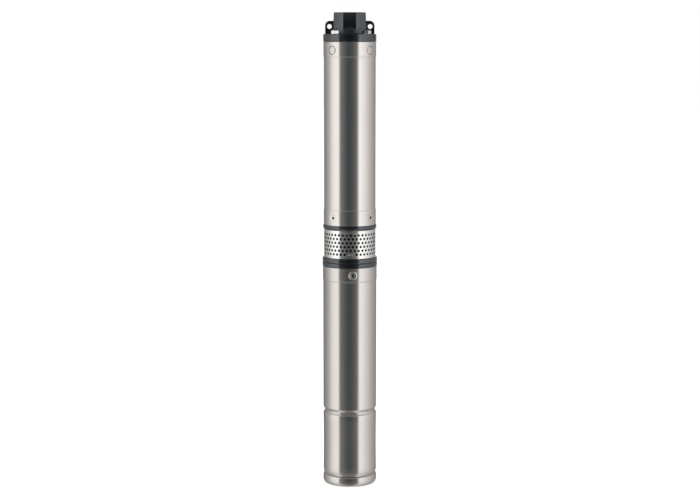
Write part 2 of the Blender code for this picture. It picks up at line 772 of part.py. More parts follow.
def sleeve_fasteners():
    end = SLEEVE_END_DIAMETER / 2
    for index, azimuth in enumerate(RIVET_AZIMUTHS):
        head = RIVET_HEAD_DIAMETER / 2
        shank = RIVET_SHANK_DIAMETER / 2
        under = SPIGOT_RADIUS + GAP
        rivet = solid_turned(
            f"sleeve_rivet_{index + 1}",
            [
                (0, end),
                (head, end),
                (head, under),
                (shank, under),
                (shank, SPIGOT_RADIUS - RIVET_SHANK_LENGTH),
                (0, SPIGOT_RADIUS - RIVET_SHANK_LENGTH),
            ],
            STEEL,
            steps=MEDIUM,
        )
        rivet.matrix_world = radial(azimuth, SLEEVE_TOP - RIVET_DROP)
    for index, azimuth in enumerate(SCREW_AZIMUTHS):
        head = SCREW_HEAD_DIAMETER / 2
        shank = SCREW_SHANK_DIAMETER / 2
        top = end - DIMPLE_DEPTH
        screw = solid_turned(
            f"sleeve_screw_{index + 1}",
            [
                (0, top),
                (head, top),
                (shank, SPIGOT_RADIUS + GAP),
                (shank, top - SCREW_LENGTH),
                (0, top - SCREW_LENGTH),
            ],
            BRIGHT,
            steps=SMALL,
        )
        screw.matrix_world = radial(azimuth, SLEEVE_BOTTOM + SCREW_RISE)


def top_bearing():
    """A spider under the head that holds the rubber bush of the pump shaft."""
    bottom = STACK_TOP - CARRIER_HEIGHT
    bush_bore = running_bore(corner(PUMP_SHAFT_FLATS), HIDDEN)
    bush_radius = bush_bore + BUSH_WALL
    hub_bore = bush_radius + GAP
    rim = SPIGOT_RADIUS - CARRIER_RIM
    carrier = turned(
        "top_bearing_carrier",
        [
            (SPIGOT_RADIUS, STACK_TOP - GAP),
            (SPIGOT_RADIUS, bottom + GAP),
            (rim, bottom + GAP),
            (rim, STACK_TOP - GAP),
        ],
        NORYL,
        steps=HIDDEN,
    )
    hub = turned(
        "carrier_hub",
        [
            (hub_bore + BUSH_WALL, STACK_TOP - GAP),
            (hub_bore + BUSH_WALL, bottom + GAP),
            (hub_bore, bottom + GAP),
            (hub_bore, STACK_TOP - GAP),
        ],
        collection=cutters,
        steps=HIDDEN,
    )
    arms = []
    start = hub_bore + EMBED
    length = rim * math.cos(math.pi / HIDDEN) + CARRIER_RIM / 2 - start
    for index in range(CARRIER_ARMS):
        arm = box(
            "carrier_arm",
            (CARRIER_ARM_THICKNESS, length, CARRIER_HEIGHT / 2),
            (0, -start - length / 2, STACK_TOP - CARRIER_HEIGHT / 2),
        )
        arms.append(placed(arm, Matrix.Rotation(math.radians(360 / CARRIER_ARMS * index), 4, "Z")))
    join(carrier, hub, *arms)
    turned(
        "top_bearing_bush",
        [
            (bush_radius, STACK_TOP - GAP),
            (bush_radius, bottom + GAP),
            (bush_bore, bottom + GAP),
            (bush_bore, STACK_TOP - GAP),
        ],
        RUBBER,
        steps=HIDDEN,
    )


def diffuser(index):
    """A stage bowl: floor with the impeller's eye, wall, and above the impeller a plate with return vanes."""
    low = STACK_BOTTOM + index * STAGE_PITCH + GAP
    high = STACK_BOTTOM + (index + 1) * STAGE_PITCH
    inner = SPIGOT_RADIUS - BOWL_WALL
    bowl = turned(
        f"diffuser_{index + 1}",
        [
            (SPIGOT_RADIUS, high),
            (SPIGOT_RADIUS, low),
            (EYE_DIAMETER / 2, low),
            (EYE_DIAMETER / 2, low + BOWL_FLOOR),
            (inner, low + BOWL_FLOOR),
            (inner, high),
        ],
        NORYL,
        steps=HIDDEN,
    )
    plate_low = low + BOWL_FLOOR + 2 * WATER_GAP + IMPELLER_BLADE_HEIGHT + IMPELLER_DISC
    hub_clear = running_bore(IMPELLER_HUB_DIAMETER / 2)
    plate = turned(
        "guide_plate",
        [
            (SPIGOT_RADIUS - GUIDE_PLATE_ROOM, plate_low + GUIDE_PLATE),
            (SPIGOT_RADIUS - GUIDE_PLATE_ROOM, plate_low),
            (hub_clear, plate_low),
            (hub_clear, plate_low + GUIDE_PLATE),
        ],
        collection=cutters,
        steps=HIDDEN,
    )
    vanes = []
    for vane_index in range(GUIDE_VANES):
        outline = arc_blade(
            hub_clear + BLADE_THICKNESS,
            SPIGOT_RADIUS - BOWL_WALL / 2,
            BLADE_THICKNESS,
            360 / GUIDE_VANES * vane_index,
        )
        vane = outlined("guide_vane", outline, plate_low + GUIDE_PLATE / 2, high - GAP)
        vanes.append(vane)
    join(bowl, plate, *vanes)
    return bowl


def impeller(index):
    """Backward-swept blades under a disc, on a long hub that reaches the next impeller."""
    base = STACK_BOTTOM + index * STAGE_PITCH + GAP + BOWL_FLOOR + WATER_GAP
    hub = IMPELLER_HUB_DIAMETER / 2
    disc_low = base + IMPELLER_BLADE_HEIGHT
    disc_high = disc_low + IMPELLER_DISC
    radius = SPIGOT_RADIUS - IMPELLER_ROOM
    hub_top = min(base + STAGE_PITCH, STACK_TOP - CARRIER_HEIGHT) - GAP
    wheel = solid_turned(
        f"impeller_{index + 1}",
        [
            (0, hub_top),
            (hub, hub_top),
            (hub, disc_high),
            (radius, disc_high),
            (radius, disc_low),
            (hub, disc_low),
            (hub, base),
            (0, base),
        ],
        NORYL,
        steps=HIDDEN,
    )
    blades = []
    for blade_index in range(IMPELLER_BLADES):
        outline = arc_blade(
            hub - BLADE_THICKNESS,
            radius * math.cos(math.pi / HIDDEN) - BLADE_THICKNESS,
            BLADE_THICKNESS,
            360 / IMPELLER_BLADES * blade_index,
        )
        blades.append(outlined("blade", outline, base + GAP, disc_low + IMPELLER_DISC / 2))
    join(wheel, *blades)
    shaft_hole = prism(
        "hexagon_hole",
        corner(PUMP_SHAFT_FLATS + 2 * GAP),
        base - EMBED,
        base + STAGE_PITCH + EMBED,
        6,
    )
    cut(wheel, shaft_hole)
    return wheel


def shafts():
    shaft_top = STACK_TOP - GAP
    prism(
        "pump_shaft",
        corner(PUMP_SHAFT_FLATS),
        SHAFT_JOINT + GAP / 2,
        shaft_top,
        6,
        BRIGHT,
        parts,
    )
    coupling = solid_turned(
        "coupling",
        [
            (0, SHAFT_JOINT + COUPLING_LENGTH / 2),
            (COUPLING_DIAMETER / 2, SHAFT_JOINT + COUPLING_LENGTH / 2),
            (COUPLING_DIAMETER / 2, SHAFT_JOINT - COUPLING_LENGTH / 2),
            (0, SHAFT_JOINT - COUPLING_LENGTH / 2),
        ],
        BRIGHT,
        steps=HIDDEN,
    )
    upper = prism(
        "coupling_hexagon",
        corner(PUMP_SHAFT_FLATS + 2 * GAP),
        SHAFT_JOINT,
        SHAFT_JOINT + COUPLING_LENGTH,
        6,
    )
    lower = prism(
        "coupling_bore",
        SHAFT_TOP_DIAMETER / 2 + GAP,
        SHAFT_JOINT - COUPLING_LENGTH,
        SHAFT_JOINT + GAP / 2,
        HIDDEN,
    )
    cut(coupling, upper, lower)

    top = SHAFT_TOP_DIAMETER / 2
    upper_journal = UPPER_JOURNAL_DIAMETER / 2
    lower_journal = LOWER_JOURNAL_DIAMETER / 2
    seat = ROTOR_SEAT_DIAMETER / 2
    shoulder = UPPER_BEARING_TOP - UPPER_BEARING_WIDTH - GAP
    foot = LOWER_BEARING_BOTTOM + LOWER_BEARING_WIDTH + GAP
    solid_turned(
        "motor_shaft",
        [
            (0, SHAFT_JOINT - GAP / 2),
            (top, SHAFT_JOINT - GAP / 2),
            (top, SHAFT_JOINT - SHAFT_TOP_LENGTH),
            (upper_journal, SHAFT_JOINT - SHAFT_TOP_LENGTH),
            (upper_journal, shoulder),
            (seat, shoulder),
            (seat, foot),
            (lower_journal, foot),
            (lower_journal, LOWER_BEARING_BOTTOM - LOWER_BRACKET_FLOOR),
            (0, LOWER_BEARING_BOTTOM - LOWER_BRACKET_FLOOR),
        ],
        BRIGHT,
        steps=HIDDEN,
    )
    rotor_radius = STATOR_BORE / 2 - AIR_GAP - GAP
    turned(
        "rotor_core",
        [
            (rotor_radius, STATOR_TOP),
            (rotor_radius, STATOR_BOTTOM),
            (seat + GAP, STATOR_BOTTOM),
            (seat + GAP, STATOR_TOP),
        ],
        LAMINATION,
        steps=HIDDEN,
    )


def intake_bracket():
    flange = FLANGE_DIAMETER / 2
    ring = INTAKE_RING_DIAMETER / 2
    bore = SPIGOT_RADIUS - INTAKE_RING_WALL
    band_foot = SLEEVE_BOTTOM - RING_BAND_HEIGHT
    bracket = turned(
        "intake_bracket",
        [
            (SPIGOT_RADIUS, STACK_BOTTOM),
            (SPIGOT_RADIUS, SLEEVE_BOTTOM),
            (ring - RING_STEP, SLEEVE_BOTTOM),
            (ring - RING_STEP, band_foot),
            (ring, band_foot - RING_SHOULDER_HEIGHT),
            (ring, RING_BOTTOM + RING_TAPER_HEIGHT),
            (ring - RING_TAPER, RING_BOTTOM),
            (bore, RING_BOTTOM),
            (bore, STACK_BOTTOM),
        ],
        CASTING,
    )
    lower = turned(
        "intake_flange",
        [
            (flange, INTAKE_DECK),
            (flange, MOTOR_FACE + FLANGE_CHAMFER),
            (flange - FLANGE_CHAMFER, MOTOR_FACE),
            (INTAKE_FLANGE_BORE / 2, MOTOR_FACE),
            (INTAKE_FLANGE_BORE / 2, INTAKE_DECK),
        ],
        collection=cutters,
    )
    wall = SPIGOT_RADIUS - LANTERN_INSET
    lantern = turned(
        "lantern",
        [
            (wall, RING_BOTTOM + EMBED),
            (wall, INTAKE_DECK - EMBED),
            (wall - LANTERN_WALL, INTAKE_DECK - EMBED),
            (wall - LANTERN_WALL, RING_BOTTOM + EMBED),
        ],
        collection=cutters,
    )
    for place in motor_bolt_places():
        window = box(
            "window",
            (WINDOW_WIDTH, 2 * LANTERN_WALL, WINDOW_HEIGHT + 4 * EMBED),
            (0, 0, INTAKE_DECK + WINDOW_HEIGHT / 2),
        )
        cut(lantern, placed(window, place))
    join(bracket, lantern, lower)

    bolt_holes = drill(
        "bolt_holes",
        MOTOR_BOLT_DIAMETER + 2 * GAP,
        MOTOR_FACE - EMBED,
        INTAKE_DECK + EMBED,
        motor_bolt_places(),
    )
    screw_bores = drill(
        "screw_bores",
        SCREW_SHANK_DIAMETER + 2 * GAP,
        SLEEVE_END_DIAMETER / 2 - DIMPLE_DEPTH - SCREW_LENGTH - GAP,
        SLEEVE_END_DIAMETER / 2,
        [radial(azimuth, SLEEVE_BOTTOM + SCREW_RISE) for azimuth in SCREW_AZIMUTHS],
    )
    channel = box(
        "guard_channel",
        (GUARD_WIDTH + 2 * GAP, SLEEVE_BOTTOM + GAP / 2 - MOTOR_FACE + EMBED, FLANGE_DIAMETER / 2),
        (0, 0, FLANGE_DIAMETER / 4),
    )
    middle = (SLEEVE_BOTTOM + GAP / 2 + MOTOR_FACE - EMBED) / 2
    placed(channel, radial(GUARD_AZIMUTH, middle, SPIGOT_RADIUS + GAP))
    inlet_half = INLET_DIAMETER / 2 + INLET_SIDE_ROOM
    inlet_notch = box(
        "inlet_notch",
        (2 * inlet_half, INTAKE_FLANGE_HEIGHT + 2 * EMBED, FLANGE_DIAMETER / 2),
        (0, 0, FLANGE_DIAMETER / 4),
    )
    flange_middle = MOTOR_FACE + INTAKE_FLANGE_HEIGHT / 2
    placed(inlet_notch, radial(GUARD_AZIMUTH, flange_middle, INLET_CIRCLE / 2 - inlet_half))
    cut(bracket, bolt_holes, screw_bores, channel, inlet_notch)
    return bracket


def motor_bolt_places():
    return [
        upright(MOTOR_BOLT_TURN + 360 / MOTOR_BOLTS * index, MOTOR_BOLT_CIRCLE / 2)
        for index in range(MOTOR_BOLTS)
    ]


def motor_bolts():
    for index, place in enumerate(motor_bolt_places()):
        bolt(
            f"motor_bolt_{index + 1}",
            Matrix.Translation((0, 0, INTAKE_DECK)) @ place,
            MOTOR_BOLT_DIAMETER,
            INTAKE_FLANGE_HEIGHT + MOTOR_BOLT_REACH,
            MOTOR_BOLT_FLATS,
            MOTOR_BOLT_HEAD,
        )


def strainer():
    """A perforated tube. Its facets are as many as its columns, so every hole lies inside one facet."""
    radius = STRAINER_DIAMETER / 2
    top = RING_BOTTOM - GAP
    bottom = INTAKE_DECK + GAP
    tube = turned(
        "strainer",
        [
            (radius, top),
            (radius, bottom),
            (radius - STRAINER_WALL, bottom),
            (radius - STRAINER_WALL, top),
        ],
        STEEL,
        steps=STRAINER_COLUMNS,
    )
    middle = (top + bottom) / 2
    column = 360 / STRAINER_COLUMNS
    places = []
    for row in range(STRAINER_ROWS):
        height = middle + ((STRAINER_ROWS - 1) / 2 - row) * STRAINER_ROW_SPACING
        for index in range(STRAINER_COLUMNS):
            azimuth = STRAINER_TURN + index * column + (row % 2) * column / 2
            away = (azimuth - GUARD_AZIMUTH + 180) % 360 - 180
            if abs(away) > STRAINER_BLANK:
                places.append(radial(azimuth, height))
    holes = drill(
        "perforation",
        STRAINER_HOLE,
        radius - 4 * STRAINER_WALL,
        radius + STRAINER_WALL,
        places,
        STRAINER_HOLE_SIDES,
    )
    cut(tube, holes)
    return tube


def cable_guard():
    """A shallow channel over the motor lead, from the motor's flange to the head."""
    base = SLEEVE_END_DIAMETER / 2 * math.cos(math.asin(GUARD_WIDTH / SLEEVE_END_DIAMETER))
    low = base + 2 * GAP
    high = SLEEVE_END_DIAMETER / 2 + GUARD_DEPTH
    half = GUARD_WIDTH / 2
    shoulder = GUARD_DEPTH / 2
    outline = [
        (half, low),
        (half, high - shoulder),
        (half - shoulder, high),
        (-half + shoulder, high),
        (-half, high - shoulder),
        (-half, low),
        (-half + GUARD_WALL, low),
        (-half + GUARD_WALL, high - shoulder - GUARD_WALL / 2),
        (-half + shoulder + GUARD_WALL / 2, high - GUARD_WALL),
        (half - shoulder - GUARD_WALL / 2, high - GUARD_WALL),
        (half - GUARD_WALL, high - shoulder - GUARD_WALL / 2),
        (half - GUARD_WALL, low),
    ]
    turned_outline = [(x, -y) for x, y in reversed(outline)]
    guard = outlined(
        "cable_guard",
        turned_outline,
        INTAKE_DECK + GUARD_LIFT,
        SLEEVE_TOP - 2 * GAP,
        finish=STEEL,
        collection=parts,
    )
    guard.matrix_world = Matrix.Rotation(math.radians(GUARD_AZIMUTH), 4, "Z")
    return guard


def inlet_place():
    """The lead comes out of the motor's flange near its rim, in a notch of the intake bracket."""
    return upright(GUARD_AZIMUTH, INLET_CIRCLE / 2)


def motor_top_bracket():
    flange = FLANGE_DIAMETER / 2
    face = MOTOR_FACE - GAP
    web = face - BRACKET_WEB
    spigot_bottom = COLLAR_TOP - BRACKET_SPIGOT_DEPTH
    bearing = UPPER_BEARING_DIAMETER / 2 + GAP
    hub = bearing + BEARING_HUB_WALL
    shaft_hole = running_bore(UPPER_JOURNAL_DIAMETER / 2)
    seal = SEAL_DIAMETER / 2 + GAP
    bracket = turned(
        "motor_top_bracket",
        [
            (seal, face),
            (flange - FLANGE_CHAMFER, face),
            (flange, face - FLANGE_CHAMFER),
            (flange, COLLAR_TOP),
            (MOTOR_FIT, COLLAR_TOP),
            (MOTOR_FIT, spigot_bottom),
            (MOTOR_FIT - BRACKET_SPIGOT_WALL, spigot_bottom),
            (MOTOR_FIT - BRACKET_SPIGOT_WALL, web),
            (hub, web),
            (hub, UPPER_BEARING_TOP - UPPER_BEARING_WIDTH),
            (bearing, UPPER_BEARING_TOP - UPPER_BEARING_WIDTH),
            (bearing, UPPER_BEARING_TOP + GAP),
            (shaft_hole, UPPER_BEARING_TOP + GAP),
            (shaft_hole, face - SEAL_HEIGHT - GAP),
            (seal, face - SEAL_HEIGHT - GAP),
        ],
        CASTING,
    )
    bolt_bores = drill(
        "motor_bolt_bores",
        MOTOR_BOLT_DIAMETER + 2 * GAP,
        web - EMBED,
        MOTOR_FACE + EMBED,
        motor_bolt_places(),
    )
    filler_bore = drill(
        "filler_bore",
        FILLER_DIAMETER + 2 * GAP,
        MOTOR_FIT - BRACKET_SPIGOT_WALL - EMBED,
        MOTOR_DIAMETER / 2,
        [radial(FILLER_AZIMUTH, COLLAR_TOP - FILLER_DROP)],
        MEDIUM,
    )
    inlet_bore = drill(
        "inlet_bore",
        INLET_DIAMETER + 2 * GAP,
        COLLAR_TOP + GAP,
        MOTOR_FACE + EMBED,
        [inlet_place()],
        MEDIUM,
    )
    cut(bracket, bolt_bores, filler_bore, inlet_bore)
    return bracket


def cable_inlet():
    """A rubber gland in the motor's flange, open at the top where the lead plugs in."""
    radius = INLET_DIAMETER / 2
    bore = INLET_BORE / 2
    floor = COLLAR_TOP + 2 * GAP
    top = MOTOR_FACE + INLET_RISE
    gland = solid_turned(
        "cable_inlet",
        [
            (0, floor + INLET_FLOOR),
            (bore, floor + INLET_FLOOR),
            (bore, top),
            (radius, top),
            (radius, floor),
            (0, floor),
        ],
        RUBBER,
        steps=MEDIUM,
    )
    gland.matrix_world = inlet_place()


def motor_shell():
    """A tube with a wider collar and two rolled grooves, the lower one drawn in to the bottom cap."""
    outer = MOTOR_DIAMETER / 2
    collar = COLLAR_DIAMETER / 2
    half = GROOVE_WIDTH / 2
    flat = GROOVE_FLOOR / 2
    wall = MOTOR_WALL
    deep = outer - GROOVE_DEPTH
    waist = (GROOVE_LOW + GROOVE_HIGH) / 2
    lip = GROOVE_LOW + GAP
    lip_radius = outer - CAP_GROOVE_DEPTH
    shell = turned(
        "motor_shell",
        [
            (collar, COLLAR_TOP - GAP),
            (collar, COLLAR_BOTTOM),
            (outer, COLLAR_BOTTOM - 2 * MOTOR_WALL),
            (outer, GROOVE_HIGH + half),
            (deep, GROOVE_HIGH + flat),
            (deep, GROOVE_HIGH - flat),
            (outer, GROOVE_HIGH - half),
            (outer - CHAMBER_WAIST, waist),
            (outer, lip + CAP_GROOVE_WIDTH),
            (lip_radius, lip),
            (lip_radius - wall, lip),
            (outer - wall, lip + CAP_GROOVE_WIDTH),
            (outer - CHAMBER_WAIST - wall, waist),
            (outer - wall, GROOVE_HIGH - half),
            (deep - wall, GROOVE_HIGH - flat),
            (deep - wall, GROOVE_HIGH + flat),
            (outer - wall, GROOVE_HIGH + half),
            (outer - wall, COLLAR_TOP - GAP),
        ],
        STEEL,
    )
    filler_hole = drill(
        "filler_hole",
        FILLER_DIAMETER + 2 * GAP,
        MOTOR_FIT / 2,
        collar + EMBED,
        [radial(FILLER_AZIMUTH, COLLAR_TOP - FILLER_DROP)],
        MEDIUM,
    )
    recess = drill(
        "filler_recess",
        FILLER_RING_DIAMETER + 2 * GAP,
        filler_floor(),
        collar + EMBED,
        [radial(FILLER_AZIMUTH, COLLAR_TOP - FILLER_DROP)],
        MEDIUM,
    )
    cut(shell, filler_hole, recess)
    return shell


def filler_floor():
    """Radius of the floor of the ring's recess in the collar."""
    return COLLAR_DIAMETER / 2 - FILLER_SINK - FILLER_RING_HEIGHT - GAP


def filler():
    """The filler plug in the shell's collar, and the bright ring that seals it."""
    place = radial(FILLER_AZIMUTH, COLLAR_TOP - FILLER_DROP)
    face = filler_floor() + GAP
    ring = turned(
        "filler_ring",
        [
            (FILLER_RING_DIAMETER / 2, face + FILLER_RING_HEIGHT),
            (FILLER_RING_DIAMETER / 2, face),
            (FILLER_DIAMETER / 2 + GAP, face),
            (FILLER_DIAMETER / 2 + GAP, face + FILLER_RING_HEIGHT),
        ],
        BRIGHT,
        steps=MEDIUM,
    )
    plug = solid_turned(
        "filler_plug",
        [
            (0, face + FILLER_RING_HEIGHT / 2),
            (FILLER_DIAMETER / 2, face + FILLER_RING_HEIGHT / 2),
            (FILLER_DIAMETER / 2, face - FILLER_LENGTH),
            (0, face - FILLER_LENGTH),
        ],
        BRIGHT,
        steps=MEDIUM,
    )
    ring.matrix_world = place
    plug.matrix_world = place


def shaft_seal():
    """A lip seal in the top bracket, round the motor shaft."""
    top = MOTOR_FACE - 2 * GAP
    bottom = MOTOR_FACE - GAP - SEAL_HEIGHT
    lip = max(SEAL_BORE / 2, running_bore(UPPER_JOURNAL_DIAMETER / 2))
    turned(
        "shaft_seal",
        [
            (SEAL_DIAMETER / 2, top),
            (SEAL_DIAMETER / 2, bottom),
            (lip, bottom),
            (lip, top),
        ],
        RUBBER,
        steps=HIDDEN,
    )


def ball_bearing(name, bottom, width, diameter, journal):
    """Outer race, inner race, and the balls in their cage as one solid."""
    outer = diameter / 2
    inner = journal / 2 + GAP
    outer_bore = outer - RACE_WALL
    inner_rim = inner + RACE_WALL
    turned(
        name + "_outer",
        [(outer, bottom + width), (outer, bottom), (outer_bore, bottom), (outer_bore, bottom + width)],
        BRIGHT,
        steps=HIDDEN,
    )
    turned(
        name + "_inner",
        [(inner_rim, bottom + width), (inner_rim, bottom), (inner, bottom), (inner, bottom + width)],
        BRIGHT,
        steps=HIDDEN,
    )
    room = outer_bore * math.cos(math.pi / HIDDEN) - inner_rim
    circle = inner_rim + room / 2
    ball_radius = room / 2 - RUNNING_GAP
    cage_half = ball_radius / 4
    middle = bottom + width / 2
    cage = turned(
        name + "_balls",
        [
            (circle + cage_half, middle + CAGE_HEIGHT / 2),
            (circle + cage_half, middle - CAGE_HEIGHT / 2),
            (circle - cage_half, middle - CAGE_HEIGHT / 2),
            (circle - cage_half, middle + CAGE_HEIGHT / 2),
        ],
        BRIGHT,
        steps=2 * BALLS,
    )

    def build(shape):
        for index in range(BALLS):
            spin = Matrix.Rotation(2 * math.pi * (index + 1 / 4) / BALLS, 4, "Z")
            place = spin @ Matrix.Translation((circle, 0, middle))
            bmesh.ops.create_icosphere(shape, subdivisions=1, radius=ball_radius, matrix=place)

    join(cage, add(name + "_ball_ring", mesh_from(build, name + "_ball_ring"), None, cutters))


def stator():
    """Slotted laminations, and the winding: coil bars in the slots with an end turn above and below."""
    bore = STATOR_BORE / 2
    outer = [
        (MOTOR_FIT * math.cos(2 * math.pi * step / ROUND), MOTOR_FIT * math.sin(2 * math.pi * step / ROUND))
        for step in range(ROUND)
    ]
    inner = []
    half_slot = SLOT_WIDTH / 2
    slot_end = MOTOR_FIT - STATOR_YOKE
    for index in range(STATOR_SLOTS):
        angle = 2 * math.pi * index / STATOR_SLOTS
        along = Vector((math.cos(angle), math.sin(angle)))
        across = Vector((-along.y, along.x))
        mouth = math.sqrt(bore**2 - half_slot**2)
        for distance, side in ((mouth, -1), (slot_end, -1), (slot_end, 1), (mouth, 1)):
            inner.append(tuple(along * distance + across * side * half_slot))
    outlined("stator_core", outer, STATOR_BOTTOM, STATOR_TOP, [inner], LAMINATION, parts)

    bar_inner = bore + 2 * GAP
    bar_outer = slot_end - GAP
    end_inner = bore + 2 * GAP
    bars = []
    for index in range(STATOR_SLOTS):
        bar = box(
            "coil_bar",
            (bar_outer - bar_inner, SLOT_WIDTH - 2 * GAP, STATOR_TOP - STATOR_BOTTOM + WINDING_HEIGHT),
            ((bar_inner + bar_outer) / 2, 0, (STATOR_BOTTOM + STATOR_TOP) / 2),
        )
        bars.append(placed(bar, Matrix.Rotation(2 * math.pi * index / STATOR_SLOTS, 4, "Z")))
    bar_set = merged("coil_bars", [bar.data for bar in bars])
    for bar in bars:
        bpy.data.objects.remove(bar)
    ends = []
    for name, low in (
        ("stator_winding", STATOR_TOP + GAP),
        ("lower_end_turn", STATOR_BOTTOM - GAP - WINDING_HEIGHT),
    ):
        profile = [
            (MOTOR_FIT - WINDING_ROOM, low + WINDING_HEIGHT),
            (MOTOR_FIT - WINDING_ROOM, low),
            (end_inner, low),
            (end_inner, low + WINDING_HEIGHT),
        ]
        visible = name == "stator_winding"
        ends.append(
            turned(name, profile, COPPER if visible else None, parts if visible else cutters, HIDDEN)
        )
    join(ends[0], bar_set, ends[1])


def lower_bearing_bracket():
    """A casting under the rotor, held by the upper rolled groove, with the capacitor's socket on its underside."""
    half = GROOVE_WIDTH / 2
    flat = GROOVE_FLOOR / 2
    deep = MOTOR_FIT - GROOVE_DEPTH
    bearing = LOWER_BEARING_DIAMETER / 2 + GAP
    relief = LOWER_JOURNAL_DIAMETER / 2 + JOURNAL_RELIEF
    socket = CAPACITOR_DIAMETER / 2 + GAP
    chamber_fit = MOTOR_FIT - CHAMBER_WAIST
    solid_turned(
        "lower_bearing_bracket",
        [
            (0, LOWER_BEARING_BOTTOM - LOWER_BRACKET_FLOOR - 2 * GAP),
            (relief, LOWER_BEARING_BOTTOM - LOWER_BRACKET_FLOOR - 2 * GAP),
            (relief, LOWER_BEARING_BOTTOM - GAP),
            (bearing, LOWER_BEARING_BOTTOM - GAP),
            (bearing, LOWER_BRACKET_TOP),
            (MOTOR_FIT, LOWER_BRACKET_TOP),
            (MOTOR_FIT, GROOVE_HIGH + half),
            (deep, GROOVE_HIGH + flat),
            (deep, GROOVE_HIGH - flat),
            (chamber_fit, GROOVE_HIGH - half),
            (chamber_fit, LOWER_BRACKET_BOTTOM),
            (socket + SOCKET_WALL, LOWER_BRACKET_BOTTOM),
            (socket + SOCKET_WALL, LOWER_BRACKET_BOTTOM - CAPACITOR_SOCKET_DEPTH),
            (socket, LOWER_BRACKET_BOTTOM - CAPACITOR_SOCKET_DEPTH),
            (socket, LOWER_BRACKET_BOTTOM),
            (0, LOWER_BRACKET_BOTTOM),
        ],
        CASTING,
        steps=HIDDEN,
    )


def capacitor():
    top = LOWER_BRACKET_BOTTOM - GAP
    solid_turned(
        "capacitor",
        [
            (0, top),
            (CAPACITOR_DIAMETER / 2, top),
            (CAPACITOR_DIAMETER / 2, top - CAPACITOR_LENGTH),
            (0, top - CAPACITOR_LENGTH),
        ],
        CAPACITOR_CASE,
        steps=HIDDEN,
    )


def diaphragm():
    """A rubber dish on the bottom cap's neck, which lets the motor's filling expand."""
    rim = NECK_RADIUS
    low = CAP_HEIGHT + CAP_NECK_HEIGHT + GAP
    high = low + DIAPHRAGM_THICKNESS
    wall = (NECK_RADIUS - CAP_WALL) * math.cos(math.pi / ROUND) - 2 * GAP
    solid_turned(
        "diaphragm",
        [
            (0, high - DIAPHRAGM_DEPTH),
            (wall - DIAPHRAGM_THICKNESS, high - DIAPHRAGM_DEPTH),
            (wall - DIAPHRAGM_THICKNESS, high),
            (rim, high),
            (rim, low),
            (wall, low),
            (wall, low - DIAPHRAGM_DEPTH),
            (0, low - DIAPHRAGM_DEPTH),
        ],
        RUBBER,
        steps=HIDDEN,
    )


def bottom_cap():
    """A pressed cup: rounded foot, shoulder below the lower groove, and a neck inside the shell."""
    radius = CAP_DIAMETER / 2
    foot = rounded_corner(radius - FOOT_RADIUS, FOOT_RADIUS, FOOT_RADIUS, 0, -90, 3)
    neck = NECK_RADIUS
    neck_inner = neck - CAP_WALL
    breather = BREATHER_DIAMETER / 2
    lip_radius = MOTOR_DIAMETER / 2 - CAP_GROOVE_DEPTH
    turned(
        "bottom_cap",
        [
            (neck, CAP_HEIGHT + CAP_NECK_HEIGHT),
            (neck, CAP_HEIGHT - GAP),
            (lip_radius, CAP_HEIGHT - GAP),
            (radius, CAP_HEIGHT - CAP_SHOULDER),
            *foot,
            (breather, 0),
            (breather, CAP_WALL),
            (radius - FOOT_RADIUS, CAP_WALL),
            (radius - CAP_WALL, FOOT_RADIUS),
            (radius - CAP_WALL, CAP_HEIGHT - CAP_SHOULDER - CAP_WALL),
            (neck_inner, CAP_HEIGHT - GAP - CAP_WALL),
            (neck_inner, CAP_HEIGHT + CAP_NECK_HEIGHT),
        ],
        STEEL,
    )


def main():
    clear_scene()
    discharge_head()
    head_bolts()
    check_valve()
    pump_sleeve()
    sleeve_fasteners()
    top_bearing()
    for index in range(STAGES):
        diffuser(index)
        impeller(index)
    shafts()
    intake_bracket()
    motor_bolts()
    strainer()
    cable_guard()
    motor_top_bracket()
    cable_inlet()
    filler()
    shaft_seal()
    ball_bearing(
        "upper_bearing",
        UPPER_BEARING_TOP - UPPER_BEARING_WIDTH,
        UPPER_BEARING_WIDTH,
        UPPER_BEARING_DIAMETER,
        UPPER_JOURNAL_DIAMETER,
    )
    ball_bearing(
        "lower_bearing",
        LOWER_BEARING_BOTTOM,
        LOWER_BEARING_WIDTH,
        LOWER_BEARING_DIAMETER,
        LOWER_JOURNAL_DIAMETER,
    )
    stator()
    lower_bearing_bracket()
    capacitor()
    diaphragm()
    motor_shell()
    bottom_cap()


main()
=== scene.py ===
# %% [markdown]
# # A borehole pump, dressed for a photograph
# A borehole pump is a tall stack of turned tubes and castings. The engineering model holds its solids and its
# moving parts. Here every surface that shows gets the shape and the finish of the real one: round tubes in place
# of faceted ones, rolled grooves, bored castings, and materials for steel, iron, rubber and brass.
# First the engineering model is loaded as a fixed frame.

import json
import math

import bpy
from mathutils import Matrix, Vector


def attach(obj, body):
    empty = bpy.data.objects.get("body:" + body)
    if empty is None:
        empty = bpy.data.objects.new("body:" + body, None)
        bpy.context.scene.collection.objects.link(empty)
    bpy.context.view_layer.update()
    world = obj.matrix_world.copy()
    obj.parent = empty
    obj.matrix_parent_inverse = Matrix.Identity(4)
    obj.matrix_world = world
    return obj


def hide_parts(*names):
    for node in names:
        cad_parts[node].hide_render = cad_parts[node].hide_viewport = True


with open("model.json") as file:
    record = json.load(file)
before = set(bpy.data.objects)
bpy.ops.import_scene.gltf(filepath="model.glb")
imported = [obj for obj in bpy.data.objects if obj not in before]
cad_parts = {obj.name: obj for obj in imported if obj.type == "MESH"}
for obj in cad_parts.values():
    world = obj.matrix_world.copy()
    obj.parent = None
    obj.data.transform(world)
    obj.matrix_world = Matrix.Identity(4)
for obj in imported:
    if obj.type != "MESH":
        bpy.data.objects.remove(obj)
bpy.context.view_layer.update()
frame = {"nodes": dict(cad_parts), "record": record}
MM = 0.001
print("engineering nodes:", len(frame["nodes"]))

